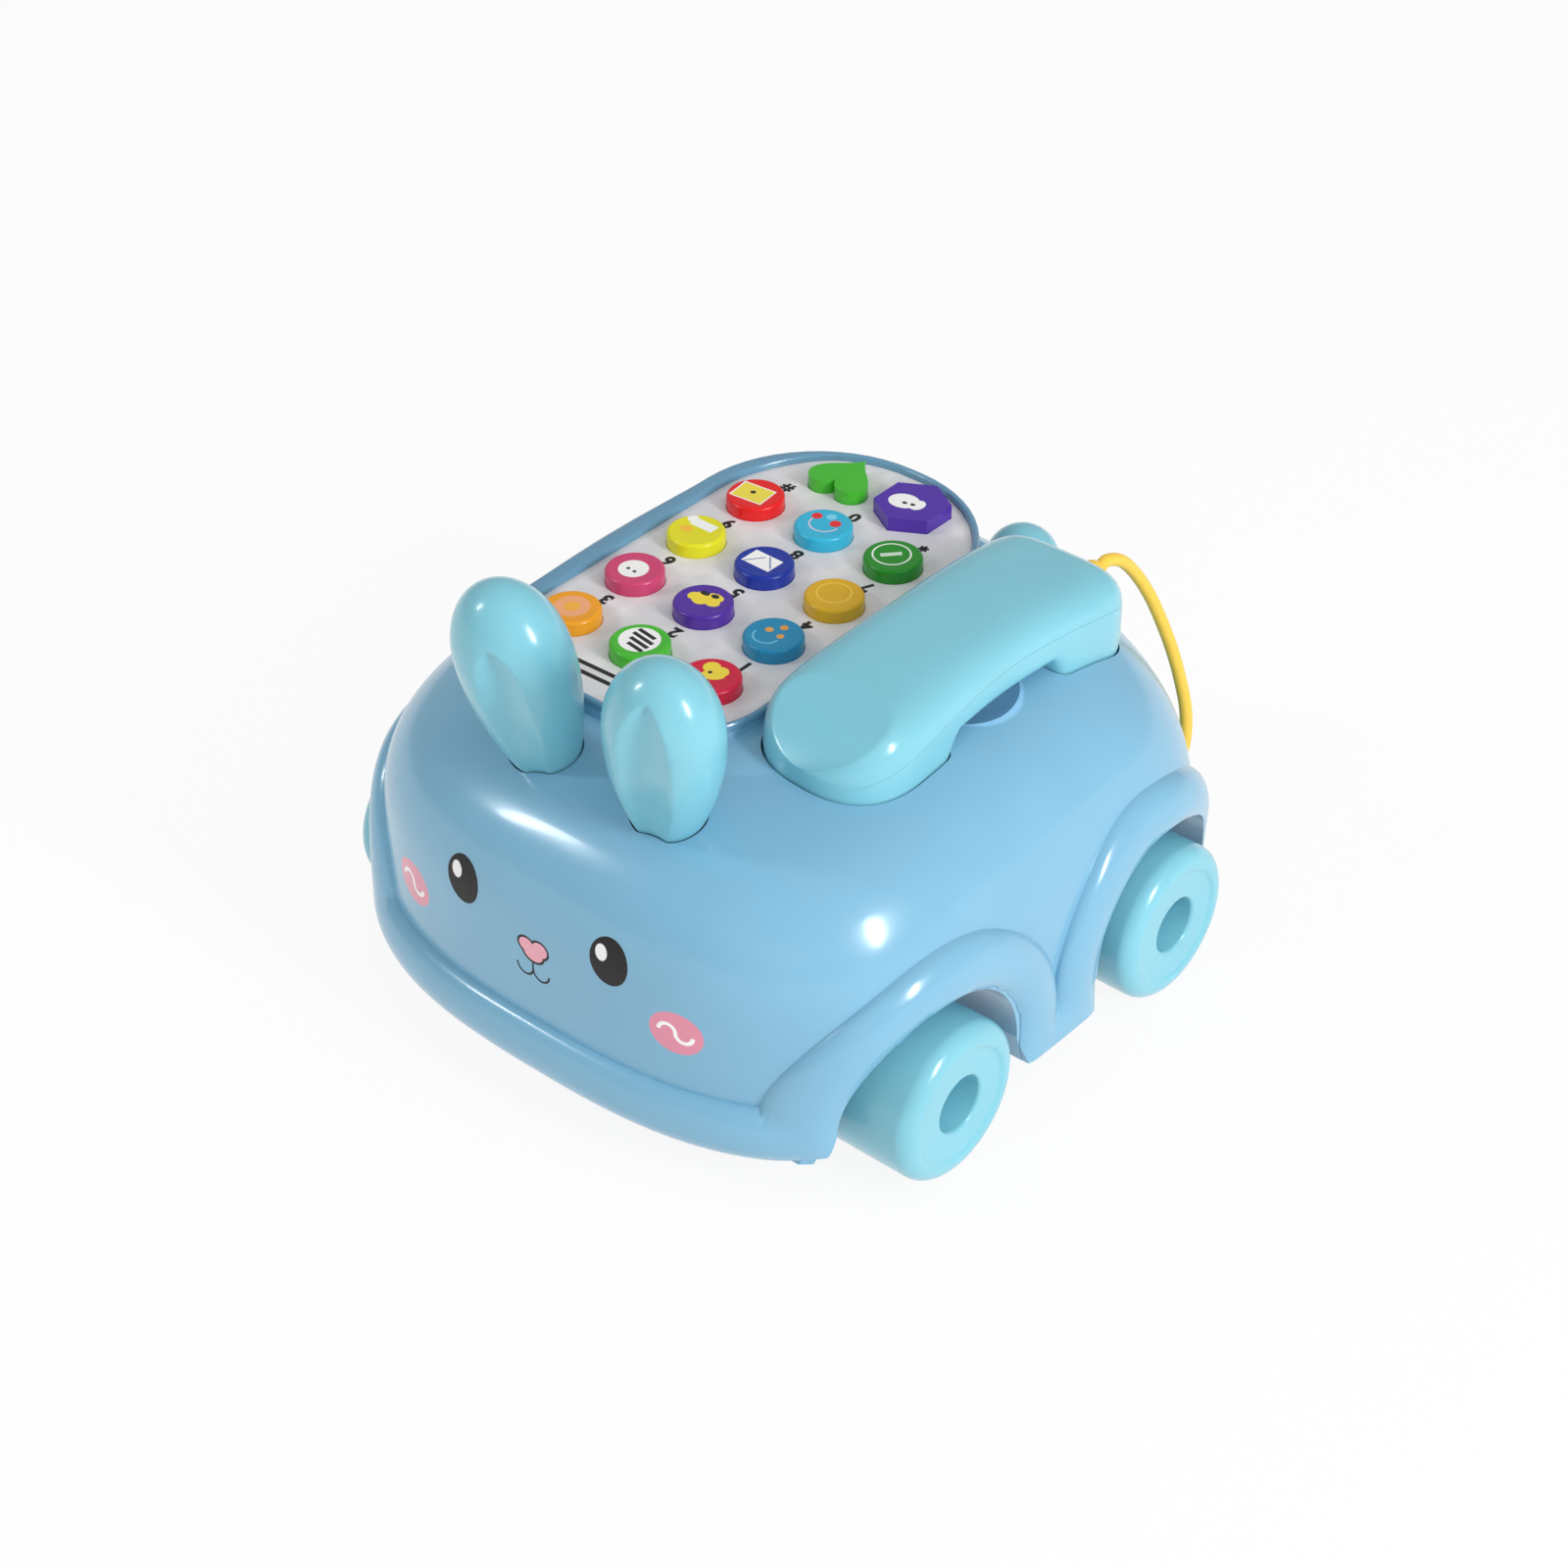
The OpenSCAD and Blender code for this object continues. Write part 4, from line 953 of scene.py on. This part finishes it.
def cap(name, tint, at, prints):
    """A button in its own colour, with (shape, sizes, ink) prints on its flat."""
    f = Finish(name + "_cap")
    spot, x, y, z = f.place()
    bx, by = at
    u, v = x - bx, y - by
    fine = f.noise(spot, 0.9)
    drift = f.blend(f.noise(spot, 0.12), shade(tint, 0.94), shade(tint, 1.05))
    flat = z.above(PLATE_TOP + 3)
    masks = [(shape(u, v, *sizes) * flat, tone) for shape, sizes, tone in prints]
    f.set(Base_Color=printed(f, drift, masks), Roughness=fine * 0.08 + 0.3,
          Coat_Weight=0.12, Coat_Roughness=0.15,
          Normal=f.bump(fine, *ORANGE_PEEL))
    paint(nodes[name], f)
    if name not in ("button_heart", "button_hexagon"):
        piece = spin_piece(name + "_cap", cap_side, (bx, by, 0), 72)
        face_outwards(piece)
        smooth_by_angle(piece, 30)
        paint(piece, f)
        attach(piece, name.replace("button", "key"))
        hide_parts(name)


cap("button_1", rgb(208, 8, 58), KEY_AT["1"], [
    (oval, (-2.2, 3.0, 2.3, 2.3), YELLOW), (oval, (0.9, 2.9, 2.2, 2.0), YELLOW),
    (oval, (0.3, 0.5, 3.2, 2.0, 30), YELLOW), (oval, (-1.1, 1.0, 0.6, 0.6), BLACK)])
cap("button_2", rgb(66, 184, 40), KEY_AT["2"], [
    (oval, (-0.4, 0.3, 5.5, 5.5), WHITE)] + [
    (bar, (-0.6 + 0.5 * k, 3.4 - 2.1 * k, 3.9 - 0.6 * abs(k - 1.2), 0.62, -8), BLACK) for k in range(4)])
cap("button_3", rgb(242, 160, 12), KEY_AT["3"], [
    (oval, (-0.1, 0.4, 4.8, 4.8), rgb(244, 170, 120)), (oval, (-0.1, 0.4, 2.2, 2.2), rgb(248, 176, 60))])
cap("button_4", rgb(14, 134, 178), KEY_AT["4"], [
    (oval, (-2.2, 0.9, 1.1, 1.1), rgb(222, 160, 70)), (oval, (0.2, 4.0, 1.1, 1.1), rgb(222, 150, 50)),
    (oval, (2.0, 0.3, 1.0, 1.0), rgb(222, 160, 70)), (arc, (-1.0, -1.5, 3.6, 0.5, -1), rgb(110, 190, 220))])
cap("button_5", rgb(78, 34, 156), KEY_AT["5"], [
    (oval, (-3.4, 0.2, 1.7, 1.7), YELLOW), (oval, (1.6, 3.0, 2.5, 1.7), YELLOW),
    (oval, (-1.2, 0.6, 2.6, 3.0, 35), YELLOW), (oval, (2.4, 0.8, 2.2, 1.8), YELLOW),
    (oval, (-1.9, 2.9, 1.5, 0.9), BLACK), (oval, (1.2, 3.4, 1.2, 0.9), BLACK)])
cap("button_6", rgb(206, 62, 112), KEY_AT["6"], [
    (oval, (0, -0.5, 4.1, 4.1), WHITE), (oval, (-1.2, -1.2, 0.55, 0.55), BLACK),
    (oval, (1.1, -1.3, 0.55, 0.55), BLACK)])
cap("button_7", rgb(218, 170, 10), KEY_AT["7"], [
    (arc, (-0.5, 0.5, 4.6, 0.35, half), rgb(244, 204, 80)) for half in (1, -1)])
cap("button_8", rgb(6, 44, 154), KEY_AT["8"], [
    (bar, (-0.7, 0, 4.7, 3.1, -1), WHITE), (bar, (-2.9, -0.6, 3.0, 0.2, 52), LINE_BLUE),
    (bar, (1.6, 0.5, 2.9, 0.2, -50), LINE_BLUE)])
cap("button_9", rgb(228, 222, 10), KEY_AT["9"], [
    (oval, (-2.6, -1.0, 1.9, 1.6), rgb(244, 190, 50)), (bar, (0.0, 3.2, 3.8, 1.7, 0), WHITE),
    (oval, (-4.4, 3.9, 1.6, 1.5), WHITE)])
cap("button_star", rgb(16, 138, 22), KEY_AT["*"], [
    (arc, (-0.7, 0.3, 5.1, 0.45, half), WHITE) for half in (1, -1)] + [
    (bar, (-0.8, 0.2, 2.9, 0.8, 48), rgb(206, 226, 206))])
cap("button_0", rgb(42, 178, 214), KEY_AT["0"], [
    (oval, (-4.0, 2.2, 1.5, 1.5), RED), (oval, (2.4, 2.2, 1.6, 1.6), RED),
    (arc, (0, 0.6, 4.2, 0.5, -1), rgb(214, 200, 220)), (oval, (-0.6, 4.2, 1.4, 1.4), PALE_BLUE)])
cap("button_hash", rgb(230, 8, 14), KEY_AT["#"], [
    (bar, (-0.8, -0.2, 5.2, 4.0, 6), WHITE), (bar, (-0.8, -0.2, 4.8, 3.6, 6), rgb(238, 218, 70)),
    (oval, (-1.0, 0.2, 0.8, 0.8), BLACK)])
cap("button_heart", rgb(62, 184, 36), HEART_AT, [])
cap("button_hexagon", rgb(76, 36, 164), HEXAGON_AT, [
    (oval, (-2.0, -1.2, 4.4, 3.6, 15), WHITE), (oval, (2.2, -0.6, 2.0, 2.6), WHITE),
    (oval, (-1.3, -1.8, 0.75, 0.6), BLACK), (oval, (1.0, -1.2, 0.75, 0.6), BLACK)])


# --- Works inside -------------------------------------------------------------
# The circuit board, its rubber sheet, the speaker, the batteries and their contacts, which
# show only through the openings of the base.
WORKS = (
    ("button_membrane", rgb(214, 214, 208), 0.6),
    ("circuit_board", rgb(34, 110, 62), 0.35),
    ("speaker", rgb(46, 46, 48), 0.7),
    ("speaker_ring", rgb(60, 64, 70), 0.5),
    ("power_switch", rgb(28, 28, 30), 0.45),
    ("batteries", rgb(168, 172, 178), 0.3))
for name, tint, rough in WORKS:
    paint(nodes[name], moulded(name + "_finish", tint, rough=rough, coat=0.0, drift=0.08))
BRASS = rgb(214, 178, 96)
brass = Finish("brass")
brass.set(Base_Color=BRASS, Metallic=1.0, Roughness=brass.noise(brass.place()[0], 0.8) * 0.15 + 0.25)
paint(nodes["battery_contacts"], brass)


# --- Floor and light ----------------------------------------------------------
# A plain white sheet that keeps the toy's shadow. Two narrow soft boxes, off the handset's
# side and off the other front corner, give the highlights; two broad lamps fill the shade.
FLOOR_GLOW, WORLD_LIGHT = 0.9, 0.42
bpy.ops.object.select_all(action="DESELECT")
bpy.ops.mesh.primitive_plane_add(size=8, location=(0, 0, 0))
floor = bpy.context.object
floor.name = "floor"
sheet = Finish("white_sheet")
sheet.set(Base_Color=(0.9, 0.9, 0.9, 1), Roughness=0.9, Specular_IOR_Level=0.0)
seen = sheet.node("ShaderNodeLightPath")
camera_ray, glossy_ray, transmission_ray = seen[0], seen[3], seen[6]
glow = sheet.node("ShaderNodeEmission", None, {"Color": (1, 1, 1, 1), "Strength": 1.0})[0]
shown = (camera_ray + glossy_ray + transmission_ray).least(1) * FLOOR_GLOW
mixed = sheet.node("ShaderNodeMixShader", None, {0: shown, 2: glow})[0]
sheet.tree.links.new(sheet.shader.outputs[0], mixed.socket.node.inputs[1])
sheet.tree.links.new(mixed.socket, sheet.tree.nodes["Material Output"].inputs["Surface"])
paint(floor, sheet)
world = bpy.data.worlds.new("studio")
bpy.context.scene.world = world
world.use_nodes = True
ground = world.node_tree
back = ground.nodes["Background"]
back.inputs["Color"].default_value = (1, 1, 1, 1)
back.inputs["Strength"].default_value = WORLD_LIGHT
plain = ground.nodes.new("ShaderNodeBackground")
plain.inputs["Color"].default_value = (1, 1, 1, 1)
plain.inputs["Strength"].default_value = 1.0
path = ground.nodes.new("ShaderNodeLightPath")
mix = ground.nodes.new("ShaderNodeMixShader")
ground.links.new(path.outputs["Is Camera Ray"], mix.inputs[0])
ground.links.new(back.outputs[0], mix.inputs[1])
ground.links.new(plain.outputs[0], mix.inputs[2])
ground.links.new(mix.outputs[0], ground.nodes["World Output"].inputs["Surface"])
LAMPS_FACE = (0, 0, 0.05)


def soft_box(name, turn, height, away, size, power, shine=True):
    """A lamp that faces the toy, at a turn from -Y towards +X and a height, both in degrees."""
    a, e = math.radians(turn), math.radians(height)
    to = Vector((math.sin(a) * math.cos(e), -math.cos(a) * math.cos(e), math.sin(e)))
    data = bpy.data.lights.new(name, "AREA")
    data.shape = "ELLIPSE"
    data.size, data.size_y = size
    data.energy = power
    lamp = bpy.data.objects.new(name, data)
    bpy.context.scene.collection.objects.link(lamp)
    lamp.location = to * away + Vector(LAMPS_FACE)
    lamp.rotation_euler = to.to_track_quat("Z", "Y").to_euler()
    lamp.visible_glossy = shine


soft_box("right_box", 88, 26, 1.6, (0.26, 0.74), 14)
soft_box("left_box", -47, 36.5, 1.6, (0.14, 0.4), 4.4)
soft_box("front_box", 40, 22, 2.0, (1.2, 0.9), 5.5, shine=False)
soft_box("top_box", 100, 62, 1.9, (1.6, 1.6), 6.5, shine=False)
